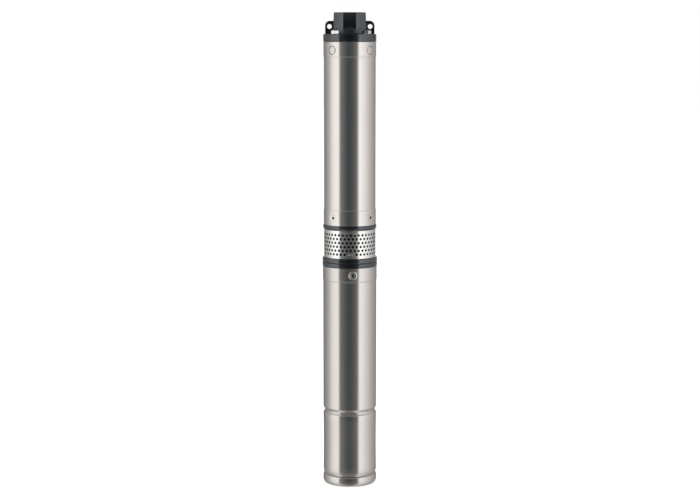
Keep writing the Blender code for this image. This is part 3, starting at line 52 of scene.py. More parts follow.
# %% [markdown]
# ## The camera
# The photograph looks at the pump from three metres away, a little downwards, with a long lens. So the sides of
# the tube stay almost parallel. The camera stands just below the height of the outlet, which is why the top face
# doesn't show.

# %% The camera
CAMERA_PLACE = (0.0004, -3.0916, 0.8165)
CAMERA_TILT = 82.8
bpy.ops.object.camera_add(location=CAMERA_PLACE, rotation=(math.radians(CAMERA_TILT), 0, 0))
camera = bpy.context.object
camera.name = "camera"
camera.data.sensor_width = 36.0
camera.data.lens = 89.0
bpy.context.scene.camera = camera
bpy.context.scene.view_settings.view_transform = "Standard"
print("camera at", tuple(round(value, 3) for value in camera.location))

# %% [markdown]
# ## Two helpers for colours and nodes
# Colours are written as they look on a screen, in hex, and a shader wants them linear. One function turns the one
# into the other. A second one adds a node with its settings and what goes into it, so that a whole material reads
# as a short list.


# %% Colours and nodes
def linear(hex_colour):
    """A screen colour such as 'C8C4C0' as linear red, green, blue and full alpha."""
    made = []
    for place in (0, 2, 4):
        value = int(hex_colour[place:place + 2], 16) / 255
        made.append(value / 12.92 if value <= 0.04045 else ((value + 0.055) / 1.055) ** 2.4)
    return (*made, 1.0)


def add_node(tree, kind, settings, inputs):
    """Adds one node. Settings are its own properties; an input is a value or another node's socket."""
    made = tree.nodes.new(kind)
    for name, value in settings.items():
        setattr(made, name, value)
    for name, value in inputs.items():
        if isinstance(value, bpy.types.NodeSocket):
            tree.links.new(value, made.inputs[name])
        else:
            made.inputs[name].default_value = value
    return made


print("mid grey is", round(linear("808080")[0], 3), "in linear light")

# %% [markdown]
# ## The studio
# A polished tube is a mirror bent round: what it shows is the room. Seen from the camera, the middle of the tube
# shows the dark side of the studio where the camera stands, and the sides show two big soft boxes. So the world is
# painted by compass direction: dark towards the camera, bright to the left and right, greyer behind. Straight
# behind the pump it is white, as the background is.
# The ramp runs from straight behind, round by the left, the front and the right, to straight behind again.

# %% The world
STUDIO_LEVEL = 1.8
# Degrees round from the camera, to the right; then brightness as a share of STUDIO_LEVEL, for red, green and blue
STUDIO = (
    (-180, (0.55, 0.55, 0.55)),
    (-174, (0.55, 0.55, 0.55)),
    (-171, (0.16, 0.16, 0.16)),
    (-145, (0.17, 0.17, 0.17)),
    (-120, (0.30, 0.30, 0.30)),
    (-104, (0.41, 0.41, 0.41)),
    (-90, (0.63, 0.63, 0.63)),
    (-78, (0.79, 0.79, 0.79)),
    (-64, (0.86, 0.86, 0.865)),
    (-49, (0.88, 0.88, 0.885)),
    (-45.5, (0.150, 0.152, 0.152)),
    (-28, (0.100, 0.106, 0.110)),
    (-12, (0.045, 0.050, 0.055)),
    (4, (0.040, 0.045, 0.050)),
    (17, (0.070, 0.074, 0.077)),
    (36, (0.140, 0.136, 0.132)),
    (40, (0.86, 0.86, 0.845)),
    (48, (0.92, 0.92, 0.915)),
    (60, (0.80, 0.80, 0.805)),
    (78, (0.66, 0.65, 0.655)),
    (95, (0.50, 0.49, 0.495)),
    (115, (0.37, 0.365, 0.365)),
    (150, (0.21, 0.205, 0.205)),
    (171, (0.16, 0.16, 0.16)),
    (174, (0.55, 0.55, 0.55)),
    (180, (0.55, 0.55, 0.55)),
)
world = bpy.data.worlds.new("studio")
bpy.context.scene.world = world
world.use_nodes = True
world.cycles.sampling_method = "NONE"
tree = world.node_tree
tree.nodes.clear()
direction = add_node(tree, "ShaderNodeTexCoord", {}, {})
parts = add_node(tree, "ShaderNodeSeparateXYZ", {}, {0: direction.outputs["Generated"]})
front = add_node(tree, "ShaderNodeMath", {"operation": "MULTIPLY"}, {0: parts.outputs["Y"], 1: -1.0})
bearing = add_node(tree, "ShaderNodeMath", {"operation": "ARCTAN2"}, {0: parts.outputs["X"], 1: front.outputs[0]})
share = add_node(
    tree, "ShaderNodeMapRange", {}, {"Value": bearing.outputs[0], "From Min": -math.pi, "From Max": math.pi}
)
ramp = add_node(tree, "ShaderNodeValToRGB", {}, {"Fac": share.outputs[0]})
stops = ramp.color_ramp.elements
while len(stops) < len(STUDIO):
    stops.new(0.5)
for stop, (angle, colour) in zip(stops, STUDIO):
    stop.position = (angle + 180) / 360
    stop.color = (*colour, 1.0)
print("studio stops:", len(stops))

# %% [markdown]
# ### Table, soft box and ceiling
# The table under the pump takes some of its light from each side. Over the heads runs a soft box, and above it
# the ceiling is dark. Only what is mirrored shows this room: dull surfaces get an even white light, and the
# camera sees a white background.

# %% Layers over the ramp
# The slopes of view where a layer starts and is whole, how much of the ramp a grey replaces in it, and the grey
LAYERS = (
    (-0.24, -0.42, 0.45, 0.27),
    (0.2, 0.4, 0.3, 0.42),
    (0.6, 0.8, 1.0, 0.1),
)
room = ramp.outputs["Color"]
for start, whole, amount, grey in LAYERS:
    layer = add_node(
        tree, "ShaderNodeMix", {"data_type": "RGBA"},
        {"Factor": amount, 6: ramp.outputs["Color"], 7: (grey, grey, grey, 1.0)},
    )
    reach = add_node(
        tree, "ShaderNodeMapRange", {}, {"Value": parts.outputs["Z"], "From Min": start, "From Max": whole}
    )
    mixed = add_node(
        tree, "ShaderNodeMix", {"data_type": "RGBA"}, {"Factor": reach.outputs[0], 6: room, 7: layer.outputs[2]}
    )
    room = mixed.outputs[2]
path = add_node(tree, "ShaderNodeLightPath", {}, {})
soft = add_node(tree, "ShaderNodeBackground", {}, {"Color": (1.0, 1.0, 1.0, 1.0), "Strength": 0.75})
studio = add_node(tree, "ShaderNodeBackground", {}, {"Color": room, "Strength": STUDIO_LEVEL})
white = add_node(tree, "ShaderNodeBackground", {}, {"Color": (1.0, 1.0, 1.0, 1.0), "Strength": 1.0})
mirrored = add_node(
    tree, "ShaderNodeMixShader", {},
    {0: path.outputs["Is Glossy Ray"], 1: soft.outputs[0], 2: studio.outputs[0]},
)
seen = add_node(
    tree, "ShaderNodeMath", {"operation": "MAXIMUM"},
    {0: path.outputs["Is Camera Ray"], 1: path.outputs["Is Transmission Ray"]},
)
shown = add_node(
    tree, "ShaderNodeMixShader", {}, {0: seen.outputs[0], 1: mirrored.outputs[0], 2: white.outputs[0]}
)
add_node(tree, "ShaderNodeOutputWorld", {}, {"Surface": shown.outputs[0]})
print("layers:", len(LAYERS))

# %% [markdown]
# ## Floor and lamps
# The floor is plain and pale, and keeps the soft shadow of the pump. A little light of its own, for what looks at
# it, carries it into the white of the background. The tube takes the room from the world above, so the floor
# itself isn't mirrored in it.


# %% Floor and lamps
def deselect_all():
    """Leaves edit mode and lets go of everything."""
    if bpy.context.mode != "OBJECT":
        bpy.ops.object.mode_set(mode="OBJECT")
    bpy.ops.object.select_all(action="DESELECT")


FLOOR_SIZE = 30.0
# The share of the floor's look that is its own light
FLOOR_GLOW = 0.45
deselect_all()
# It lies a third of a millimetre low, so that it doesn't meet the foot's own face
bpy.ops.mesh.primitive_plane_add(size=FLOOR_SIZE, location=(0, 0, -0.3 * MM))
floor = bpy.context.object
floor.name = "floor"
floor.visible_glossy = False
pale = bpy.data.materials.new("white_paper_roll")
pale.use_nodes = True
tree = pale.node_tree
tree.nodes.clear()
path = add_node(tree, "ShaderNodeLightPath", {}, {})
looked_at = add_node(
    tree, "ShaderNodeMath", {"operation": "MAXIMUM"},
    {0: path.outputs["Is Camera Ray"], 1: path.outputs["Is Glossy Ray"]},
)
looked_at = add_node(
    tree, "ShaderNodeMath", {"operation": "MAXIMUM"},
    {0: looked_at.outputs[0], 1: path.outputs["Is Transmission Ray"]},
)
own_light = add_node(tree, "ShaderNodeMath", {"operation": "MULTIPLY"}, {0: looked_at.outputs[0], 1: FLOOR_GLOW})
paper = add_node(tree, "ShaderNodeBsdfDiffuse", {}, {"Color": (0.86, 0.86, 0.86, 1.0)})
glow = add_node(tree, "ShaderNodeEmission", {}, {"Strength": own_light.outputs[0]})
both = add_node(tree, "ShaderNodeAddShader", {}, {0: paper.outputs[0], 1: glow.outputs[0]})
add_node(tree, "ShaderNodeOutputMaterial", {}, {"Surface": both.outputs[0]})
floor.data.materials.append(pale)

# Place and size in metres, and power in watts
LAMPS = (
    ("left_lamp", (-1.9, -1.6, 1.9), 1.6, 22.0),
    ("right_lamp", (2.1, -1.2, 1.7), 1.4, 16.0),
    ("top_lamp", (0.2, 0.3, 2.6), 1.5, 14.0),
)
AIM = Vector((0, 0, 0.4))
for name, place, size, power in LAMPS:
    bpy.ops.object.light_add(type="AREA", location=place)
    lamp = bpy.context.object
    lamp.name = name
    lamp.data.size = size
    lamp.data.energy = power
    lamp.rotation_euler = (AIM - Vector(place)).to_track_quat("-Z", "Y").to_euler()
    lamp.visible_glossy = False
print("lamps:", [row[0] for row in LAMPS])

# %% [markdown]
# ## What the finishes share
# No real surface has one flat colour or one even gloss. So every finish takes a fine pattern and lets it steer
# the colour, the roughness and a slight relief, all three or one of them.


# %% What the finishes share
def new_material(name):
    """An empty material with its shader and output joined, and object coordinates at hand."""
    made = bpy.data.materials.new(name)
    made.use_nodes = True
    tree = made.node_tree
    shader = tree.nodes["Principled BSDF"]
    coordinates = add_node(tree, "ShaderNodeTexCoord", {}, {})
    return made, tree, shader, coordinates.outputs["Object"]


def steer(tree, shader, pattern, tints=None, gloss=None, relief=None):
    """A pattern runs the colour between two tints, roughness between two values, relief by strength and depth."""
    if tints:
        first, second = (linear(tint) for tint in tints)
        mixed = add_node(tree, "ShaderNodeMix", {"data_type": "RGBA"}, {"Factor": pattern, 6: first, 7: second})
        tree.links.new(mixed.outputs[2], shader.inputs["Base Color"])
    if gloss:
        ranged = add_node(
            tree, "ShaderNodeMapRange", {}, {"Value": pattern, "To Min": gloss[0], "To Max": gloss[1]}
        )
        tree.links.new(ranged.outputs[0], shader.inputs["Roughness"])
    if relief:
        strength, depth = relief
        raised = add_node(
            tree, "ShaderNodeBump", {}, {"Height": pattern, "Strength": strength, "Distance": depth * MM}
        )
        tree.links.new(raised.outputs[0], shader.inputs["Normal"])


print("a finish is steered by", steer.__name__)

# %% [markdown]
# ## Stainless steel tube
# The sleeve, the motor tube and the strainer are cold-rolled stainless sheet, ground to a satin finish while they
# turn, so the scratches run round the tube. That keeps the reflections sharp from side to side and draws them out
# along the tube. Real scratches are a tenth of a millimetre apart. In this picture a pixel is almost two
# millimetres, so they are drawn a good millimetre apart and very faint. The motor's tube is a slightly greyer
# steel than the pump's, and the strainer's sheet a brighter one.


# %% Satin stainless steel
def satin(name, light, dark):
    """Ground stainless sheet, its colour between two in soft clouds."""
    made, tree, shader, place = new_material(name)
    shader.inputs["Metallic"].default_value = 1.0
    shader.inputs["Anisotropic"].default_value = 0.55
    shader.inputs["Anisotropic Rotation"].default_value = 0.25
    radial_tangent = add_node(tree, "ShaderNodeTangent", {"direction_type": "RADIAL", "axis": "Z"}, {})
    tree.links.new(radial_tangent.outputs[0], shader.inputs["Tangent"])
    # Features 70 mm long round the tube and 1.4 mm high
    stretched = add_node(tree, "ShaderNodeMapping", {}, {"Vector": place, "Scale": (14.0, 14.0, 700.0)})
    scratches = add_node(
        tree, "ShaderNodeTexNoise", {},
        {"Vector": stretched.outputs[0], "Scale": 1.0, "Detail": 3.0, "Roughness": 0.6},
    )
    clouds = add_node(tree, "ShaderNodeTexNoise", {}, {"Vector": place, "Scale": 18.0, "Detail": 2.0})
    steer(tree, shader, scratches.outputs[0], gloss=(0.17, 0.27), relief=(0.05, 0.1))
    steer(tree, shader, clouds.outputs[0], tints=(light, dark))
    return made


satin_steel = satin("satin_stainless_steel_tube", "CBC6C1", "C4C0BC")
motor_steel = satin("satin_stainless_steel_motor_tube", "C4BFBA", "BDB9B5")
strainer_steel = satin("bright_stainless_strainer_sheet", "DDDBD8", "D5D3D0")
print("finishes:", satin_steel.name, motor_steel.name, strainer_steel.name)

# %% [markdown]
# ## Painted shade inside the strainer
# The strainer's sheet is ground outside only. Inside, and in the punched holes, it is painted a dull near-black as
# painted shade, which is why the holes look black.

# %% Painted shade inside the strainer
strainer_inside_painted_shade, tree, shader, place = new_material("painted_shade_strainer_inside")
shader.inputs["Metallic"].default_value = 0.6
shader.inputs["Roughness"].default_value = 0.6
# Patches of the painted shade are about five millimetres wide
shade_patches = add_node(tree, "ShaderNodeTexNoise", {}, {"Vector": place, "Scale": 220.0, "Detail": 3.0})
steer(tree, shader, shade_patches.outputs[0], tints=("1D1D1E", "2D2C2B"))
print("finish:", strainer_inside_painted_shade.name)

# %% [markdown]
# ## Bright steel
# Bolts, screws, the filler plug, shafts and ball races are turned or ground stainless steel without the satin
# grinding, so they mirror more sharply. Handling leaves faint uneven patches.

# %% Bright stainless steel
bright_steel, tree, shader, place = new_material("turned_bright_steel")
shader.inputs["Metallic"].default_value = 1.0
# Patches are about four millimetres wide
patches = add_node(tree, "ShaderNodeTexNoise", {}, {"Vector": place, "Scale": 260.0, "Detail": 3.0})
steer(tree, shader, patches.outputs[0], gloss=(0.12, 0.26), tints=("DEDCD8", "CFCDC9"))
print("finish:", bright_steel.name)

# %% [markdown]
# ## Zinc flake and dark steel
# The bolts in the intake stand in water, so they have a pale, dull coat of zinc flake. The coupling behind the
# strainer is blackened steel, its near-black also painted shade for what shows through the strainer's holes.

# %% Zinc flake, and dark steel for painted shade
zinc_flake, tree, shader, place = new_material("zinc_flake_coat")
shader.inputs["Metallic"].default_value = 0.1
# Flakes of a tenth of a millimetre are drawn at one, so that they show
flake = add_node(tree, "ShaderNodeTexNoise", {}, {"Vector": place, "Scale": 900.0, "Detail": 3.0})
steer(tree, shader, flake.outputs[0], gloss=(0.35, 0.55), tints=("E2E3E3", "EFEFEE"))

dark_steel_painted_shade, tree, shader, place = new_material("blackened_steel_painted_shade")
shader.inputs["Metallic"].default_value = 0.7
# Shades in the dark steel are about two and a half millimetres wide
oxide = add_node(tree, "ShaderNodeTexNoise", {}, {"Vector": place, "Scale": 400.0, "Detail": 3.0})
steer(tree, shader, oxide.outputs[0], gloss=(0.45, 0.65), tints=("141517", "1F2022"))
print("finishes:", zinc_flake.name, dark_steel_painted_shade.name)

# %% [markdown]
# ## Black castings
# Head, intake and motor flange are cast iron, dipped in black electrocoat. The coat is thin and half glossy, and
# follows the sand grain of the casting, so its shine is mottled. Grain is about half a millimetre, drawn at two
# millimetres here, about a pixel.

# %% Black coated cast iron
black_casting, tree, shader, place = new_material("electrocoated_cast_iron")
shader.inputs["IOR"].default_value = 1.5
grain = add_node(
    tree, "ShaderNodeTexNoise", {}, {"Vector": place, "Scale": 420.0, "Detail": 4.0, "Roughness": 0.6}
)
# The coat's thickness changes every eight millimetres or so
blotches = add_node(tree, "ShaderNodeTexNoise", {}, {"Vector": place, "Scale": 120.0, "Detail": 3.0})
steer(tree, shader, blotches.outputs[0], gloss=(0.04, 0.12), tints=("020303", "050606"))
shader.inputs["Specular IOR Level"].default_value = 1.2
shader.inputs["Specular Tint"].default_value = linear("EDF5FC")
steer(tree, shader, grain.outputs[0], relief=(0.3, 0.3))
print("finish:", black_casting.name)

# %% [markdown]
# ## Rubber, brass and plastic
# Seals, the bush and the cable gland are moulded nitrile rubber: matt, with a fine dust in the mould's grain. The
# valve is machined brass, whose cutter leaves rings. Impellers and bowls are black plastic with glass fibre,
# which shows as a faint fleck.

# %% Rubber, brass and plastic
rubber, tree, shader, place = new_material("moulded_nitrile_rubber")
shader.inputs["Roughness"].default_value = 0.72
# The mould's grain, drawn at 0.7 mm
mould = add_node(tree, "ShaderNodeTexNoise", {}, {"Vector": place, "Scale": 1400.0, "Detail": 2.0})
steer(tree, shader, mould.outputs[0], tints=("17181A", "242527"), relief=(0.2, 0.1))

brass, tree, shader, place = new_material("machined_brass")
shader.inputs["Metallic"].default_value = 1.0
shader.inputs["Roughness"].default_value = 0.3
# The cutter's rings, a tenth of a millimetre apart, are drawn one millimetre apart
tool_marks = add_node(
    tree, "ShaderNodeTexWave", {"wave_type": "RINGS", "rings_direction": "Z"},
    {"Vector": place, "Scale": 320.0, "Distortion": 0.6, "Detail": 1.0},
)
steer(tree, shader, tool_marks.outputs["Color"], tints=("B58E54", "C49E63"))
steer(tree, shader, tool_marks.outputs["Fac"], relief=(0.1, 0.1))

plastic, tree, shader, place = new_material("glass_filled_moulded_plastic")
# Fibres of 0.3 mm are drawn at 1.4 mm
flecks = add_node(tree, "ShaderNodeTexVoronoi", {}, {"Vector": place, "Scale": 700.0})
steer(tree, shader, flecks.outputs["Distance"], tints=("303133", "3C3E40"), gloss=(0.4, 0.55))
print("finishes:", rubber.name, brass.name, plastic.name)

# %% [markdown]
# ## Inside the motor
# The stator and rotor are stacks of half-millimetre sheets, drawn here as two-millimetre layers. The winding is
# varnished copper wire, the run capacitor a drawn aluminium can.

# %% Laminations, winding and capacitor
laminations, tree, shader, place = new_material("stacked_silicon_steel_sheet")
shader.inputs["Metallic"].default_value = 1.0
shader.inputs["Roughness"].default_value = 0.45
sheets = add_node(
    tree, "ShaderNodeTexWave", {"wave_type": "BANDS", "bands_direction": "Z"},
    {"Vector": place, "Scale": 155.0, "Distortion": 0.0},
)
steer(tree, shader, sheets.outputs["Fac"], tints=("6E7073", "939598"))

winding, tree, shader, place = new_material("varnished_copper_wire")
shader.inputs["Metallic"].default_value = 0.9
shader.inputs["Roughness"].default_value = 0.35
shader.inputs["Coat Weight"].default_value = 0.4
# Wire of 0.8 mm is drawn two millimetres wide
wires = add_node(
    tree, "ShaderNodeTexWave", {"wave_type": "BANDS", "bands_direction": "DIAGONAL"},
    {"Vector": place, "Scale": 180.0, "Distortion": 3.0, "Detail": 2.0},
)
steer(tree, shader, wires.outputs["Fac"], tints=("7A3A1C", "B66A3C"))

drawn_can, tree, shader, place = new_material("drawn_aluminium_can")
shader.inputs["Metallic"].default_value = 1.0
# Lines of the drawing press, a millimetre apart and 80 mm long
draw_lines = add_node(tree, "ShaderNodeMapping", {}, {"Vector": place, "Scale": (900.0, 900.0, 12.0)})
streaks = add_node(tree, "ShaderNodeTexNoise", {}, {"Vector": draw_lines.outputs[0], "Scale": 1.0, "Detail": 2.0})
steer(tree, shader, streaks.outputs[0], gloss=(0.3, 0.5))
shader.inputs["Base Color"].default_value = linear("C9CBCD")
print("finishes:", laminations.name, winding.name, drawn_can.name)

# %% [markdown]
# ## How a round piece is made
# Most pieces are round. On a lathe they come from one profile, and so they do here: a single point is placed at
# the start of the profile, extruded from corner to corner in edit mode, and the line is spun round the shaft. Then
# doubled points are merged and all faces turned outwards. Profiles are lists of radius and height in millimetres.

# %% Turning a profile
ROUND = 128
SMALL_ROUND = 40


def activate(piece):
    """Makes one piece the only selected and the active one."""
    deselect_all()
    piece.select_set(True)
    bpy.context.view_layer.objects.active = piece


def drawn_line(name, corners):
    """One point extruded from corner to corner, all in millimetres. Edit mode stays on, the line selected."""
    deselect_all()
    bpy.ops.mesh.primitive_plane_add(size=0.1 * MM, location=[value * MM for value in corners[0]])
    piece = bpy.context.object
    piece.name = piece.data.name = name
    bpy.ops.object.transform_apply(location=True, rotation=True, scale=True)
    bpy.ops.object.mode_set(mode="EDIT")
    bpy.ops.mesh.select_mode(type="VERT")
    bpy.ops.mesh.select_all(action="SELECT")
    bpy.ops.mesh.merge(type="CENTER")
    for before, after in zip(corners, corners[1:]):
        step = [(end - start) * MM for start, end in zip(before, after)]
        bpy.ops.mesh.extrude_vertices_move(TRANSFORM_OT_translate={"value": step})
    bpy.ops.mesh.select_all(action="SELECT")
    bpy.ops.mesh.remove_doubles(threshold=0.001 * MM)
    return piece


def turned(name, profile, closed=True, steps=ROUND):
    """Spins a profile of (radius, height) in millimetres round the Z axis. A closed one ends where it starts."""
    line = [*profile, profile[0]] if closed else profile
    piece = drawn_line(name, [(radius, 0, height) for radius, height in line])
    bpy.ops.mesh.spin(steps=steps, angle=2 * math.pi, center=(0, 0, 0), axis=(0, 0, 1))
    bpy.ops.mesh.select_all(action="SELECT")
    bpy.ops.mesh.remove_doubles(threshold=0.002 * MM)
    bpy.ops.mesh.normals_make_consistent(inside=False)
    bpy.ops.object.mode_set(mode="OBJECT")
    return piece


def arc(centre, radius, start, end, steps):
    """Points of an arc in a profile, its angles in degrees, 0 outwards and 90 up."""
    made = []
    for index in range(steps + 1):
        angle = math.radians(start + (end - start) * index / steps)
        made.append((centre[0] + radius * math.cos(angle), centre[1] + radius * math.sin(angle)))
    return made


print("a quarter arc:", [tuple(round(value, 1) for value in point) for point in arc((0, 0), 5, 0, 90, 2)])

# %% [markdown]
# ## Cutting, joining and placing
# Bores and slots are cut with a second shape, as a drill would: the Boolean modifier takes one from the other and
# is applied at once. A piece on the side of the tube is made upright on the axis, turned to face outwards, and its
# placement applied, so that its object ends at the origin.


# %% Cutting, joining and placing
def combine(piece, tool, operation):
    """Cuts a tool from a piece, or joins it on, and removes the tool."""
    modifier = piece.modifiers.new("Cut", "BOOLEAN")
    modifier.operation = operation
    modifier.solver = "MANIFOLD"
    modifier.object = tool
    activate(piece)
    bpy.ops.object.modifier_apply(modifier=modifier.name)
    bpy.data.objects.remove(tool)
    return piece


def settle(piece, place):
    """Moves a piece to a placement and applies it."""
    activate(piece)
    piece.matrix_world = place
    bpy.ops.object.transform_apply(location=True, rotation=True, scale=True)
    return piece


def copies(piece, places):
    """Copies of one piece at several placements, each with its own mesh, and the pattern itself removed."""
    made = []
    for index, place in enumerate(places):
        twin = piece.copy()
        twin.data = piece.data.copy()
        twin.name = twin.data.name = f"{piece.name}_{index + 1}"
        bpy.context.scene.collection.objects.link(twin)
        made.append(settle(twin, place))
    bpy.data.objects.remove(piece)
    return made


def joined(name, pieces):
    """One object from several."""
    deselect_all()
    for piece in pieces:
        piece.select_set(True)
    bpy.context.view_layer.objects.active = pieces[0]
    bpy.ops.object.join()
    whole = bpy.context.object
    whole.name = whole.data.name = name
    return whole


def cut_all(piece, tool, places):
    """Cuts one tool from a piece at several placements, and removes it."""
    return combine(piece, joined("cutters", copies(tool, places)), "DIFFERENCE")


def facing(azimuth):
    """Unit vector away from the shaft, 0 to the front and 90 to the right."""
    angle = math.radians(azimuth)
    return Vector((math.sin(angle), -math.cos(angle), 0.0))


def outwards(azimuth, height):
    """A placement on the shaft axis at a height, whose own Z looks outwards."""
    out = facing(azimuth)
    up = Vector((0, 0, 1))
    turn = Matrix((up.cross(out), up, out)).transposed().to_4x4()
    return Matrix.Translation(Vector((0, 0, height * MM))) @ turn


def upright(azimuth, radius, height=0.0):
    """A placement beside the shaft that keeps its own Z up."""
    spin = Matrix.Rotation(math.radians(azimuth), 4, "Z")
    return Matrix.Translation(facing(azimuth) * radius * MM + Vector((0, 0, height * MM))) @ spin


def cylinder(name, diameter, low, high, sides=SMALL_ROUND):
    """A plain round or many-sided tool for bores, between two heights in millimetres."""
    deselect_all()
    middle = (low + high) / 2 * MM
    bpy.ops.mesh.primitive_cylinder_add(
        vertices=sides, radius=diameter / 2 * MM, depth=(high - low) * MM, location=(0, 0, middle)
    )
    tool = bpy.context.object
    tool.name = tool.data.name = name
    bpy.ops.object.transform_apply(location=True, rotation=True, scale=True)
    return tool


def block(name, size, centre):
    """A box for slots and ribs, in millimetres."""
    deselect_all()
    bpy.ops.mesh.primitive_cube_add(size=1.0, location=[value * MM for value in centre])
    tool = bpy.context.object
    tool.name = tool.data.name = name
    tool.scale = [value * MM for value in size]
    bpy.ops.object.transform_apply(location=True, rotation=True, scale=True)
    return tool


def soften(piece, width, segments=2, angle=35.0):
    """Rounds the sharp edges of a piece."""
    bevel = piece.modifiers.new("Edges", "BEVEL")
    bevel.width = width * MM
    bevel.segments = segments
    bevel.limit_method = "ANGLE"
    bevel.angle_limit = math.radians(angle)
    activate(piece)
    bpy.ops.object.modifier_apply(modifier=bevel.name)
    return piece


def clear_points(piece):
    """Makes a piece active, with no point, edge or face of it selected."""
    activate(piece)
    bpy.ops.object.mode_set(mode="EDIT")
    bpy.ops.mesh.select_all(action="DESELECT")
    bpy.ops.object.mode_set(mode="OBJECT")


def dress(piece, finish, nodes, body="casing", smooth=32.0):
    """Gives a finished piece its material, shading and body, and hides the nodes it stands for."""
    activate(piece)
    bpy.ops.object.mode_set(mode="EDIT")
    bpy.ops.mesh.select_all(action="SELECT")
    bpy.ops.mesh.remove_doubles(threshold=0.001 * MM)
    bpy.ops.mesh.normals_make_consistent(inside=False)
    bpy.ops.object.mode_set(mode="OBJECT")
    piece.data.materials.clear()
    piece.data.materials.append(finish)
    bpy.ops.object.shade_smooth_by_angle(angle=math.radians(smooth))
    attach(piece, body)
    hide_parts(*nodes)
    print(piece.name, len(piece.data.polygons), "faces")
    return piece


print("front is", tuple(facing(0)))

# %% [markdown]
# ## The motor tube
# One long tube, a little wider at its top where the flange is pressed in. A groove is rolled into it 136 mm above
# the foot, to hold the lower bearing bracket, and its lower end is drawn in over the bottom cap. Below the groove
# the wall is slightly waisted by the rolling. The grooves follow a half wave, so the light rolls over them.

# %% Motor tube
WALL = 1.5
MOTOR_RADIUS = 48.0
COLLAR_RADIUS = 48.525
GROOVE_HEIGHT = 135.6
GROOVE_HALF = 6.0
GROOVE_DEPTH = 2.7
GROOVE_STEPS = 15
CAP_TOP = 18.5
COLLAR_FOOT = 375.0
COLLAR_TOP = 398.7
WAIST = 0.45
WAIST_STEPS = 12
FILLER_AZIMUTH = 6.4
FILLER_HEIGHT = 385.5
FILLER_BORE = 11.1


def groove_depth(offset):
    """How far the rolled groove goes in, by the height above or below its middle."""
    if abs(offset) >= GROOVE_HALF:
        return 0.0
    return GROOVE_DEPTH * (0.5 + 0.5 * math.cos(math.pi * offset / GROOVE_HALF)) ** 0.8


groove = [
    (MOTOR_RADIUS - groove_depth(offset), GROOVE_HEIGHT + offset)
    for offset in (GROOVE_HALF * (1 - 2 * index / GROOVE_STEPS) for index in range(GROOVE_STEPS + 1))
]
chamber_low = CAP_TOP + 8.0
chamber_high = GROOVE_HEIGHT - GROOVE_HALF
chamber = []
for index in range(1, WAIST_STEPS):
    part = index / WAIST_STEPS
    height = chamber_high + (chamber_low - chamber_high) * part
    chamber.append((MOTOR_RADIUS - WAIST * math.sin(math.pi * part), height))
outside = [
    (COLLAR_RADIUS - 0.3, COLLAR_TOP - 0.3),
    (COLLAR_RADIUS, COLLAR_TOP - 0.6),
    (COLLAR_RADIUS, COLLAR_TOP - 1.4),
    (COLLAR_RADIUS, COLLAR_FOOT + 1.5),
    (COLLAR_RADIUS, COLLAR_FOOT + 0.5),
    (COLLAR_RADIUS - 0.1, COLLAR_FOOT - 0.3),
    (MOTOR_RADIUS + 0.12, COLLAR_FOOT - 2.2),
    (MOTOR_RADIUS, COLLAR_FOOT - 3.0),
    (MOTOR_RADIUS, COLLAR_FOOT - 4.0),
    (MOTOR_RADIUS, GROOVE_HEIGHT + GROOVE_HALF + 1.0),
    *groove,
    *chamber,
    (MOTOR_RADIUS, chamber_low),
    (MOTOR_RADIUS - 0.25, CAP_TOP + 5.4),
    (MOTOR_RADIUS - 0.8, CAP_TOP + 3.0),
    (MOTOR_RADIUS - 1.5, CAP_TOP + 1.2),
    (MOTOR_RADIUS - 1.8, CAP_TOP + 0.3),
]
inside = [(radius - WALL, height) for radius, height in reversed(outside[7:])]
motor_tube = turned("motor_tube", [*outside, *inside, (MOTOR_RADIUS - WALL, COLLAR_TOP - 0.3)])
filler_place = outwards(FILLER_AZIMUTH, FILLER_HEIGHT)
cut_all(motor_tube, cylinder("filler_hole", FILLER_BORE, 30.0, 52.0), [filler_place])
cut_all(motor_tube, cylinder("filler_recess", 16.2, 47.23, 52.0), [filler_place])
dress(motor_tube, motor_steel, ["motor_shell"])

# %% [markdown]
# ## The bottom cap
# A cup pressed from sheet: a rounded foot, a shoulder that the tube's end is rolled on to, and a neck inside. A
# breather hole in its floor lets water press on the diaphragm.

# %% Bottom cap
CAP_RADIUS = 48.2
FOOT_ROUNDING = 7.0
foot_centre = CAP_RADIUS - FOOT_ROUNDING
bottom_cap = turned(
    "bottom_cap_pressing",
    [
        (44.4, 28.0),
        (44.4, 18.2),
        (46.0, 18.2),
        (46.8, 17.7),
        (47.6, 16.4),
        (48.05, 15.0),
        (CAP_RADIUS, 13.6),
        *arc((foot_centre, FOOT_ROUNDING), FOOT_ROUNDING, 0, -90, 10),
        (3.4, 0.0),
        (3.0, 0.3),
        (3.0, WALL),
        (foot_centre, WALL),
        *arc((foot_centre, FOOT_ROUNDING), FOOT_ROUNDING - WALL, -90, 0, 6),
        (CAP_RADIUS - WALL, 13.0),
        (42.9, 16.7),
        (42.9, 28.0),
    ],
)
dress(bottom_cap, motor_steel, ["bottom_cap"])

# %% [markdown]
# ## The motor's top flange
# A casting that closes the motor: its rim is the lower of the two black rings, a spigot centres it in the tube,
# and a hub below holds the upper bearing. The bolts of the intake go through it.

# %% Motor flange
# Degrees between faces up to which a casting is shaded round. It is small, so flat bands keep an even tone
CASTING_SMOOTH = 18.0
FLANGE_RADIUS = 49.05
MOTOR_FACE = 406.5
INTAKE_DECK = 414.9
GUARD_AZIMUTH = 147.0
INLET_RADIUS = 43.0
BOLT_BORE = 8.6
MOTOR_BOLT_RADIUS = 37.8
MOTOR_BOLT_AZIMUTH = 3.0
motor_flange = turned(
    "motor_flange_casting",
    [
        (15.3, 406.2),
        (48.15, 406.2),
        (48.7, 406.0),
        (FLANGE_RADIUS, 405.4),
        (FLANGE_RADIUS, 399.9),
        (48.75, 399.1),
        (48.1, 398.7),
        (46.2, 398.7),
        (46.2, 376.3),
        (39.7, 376.3),
        (39.7, 392.3),
        (26.3, 392.3),
        (26.3, 352.6),
        (20.3, 352.6),
        (20.3, 364.9),
        (9.3, 364.9),
        (9.3, 396.9),
        (15.3, 396.9),
    ],
)
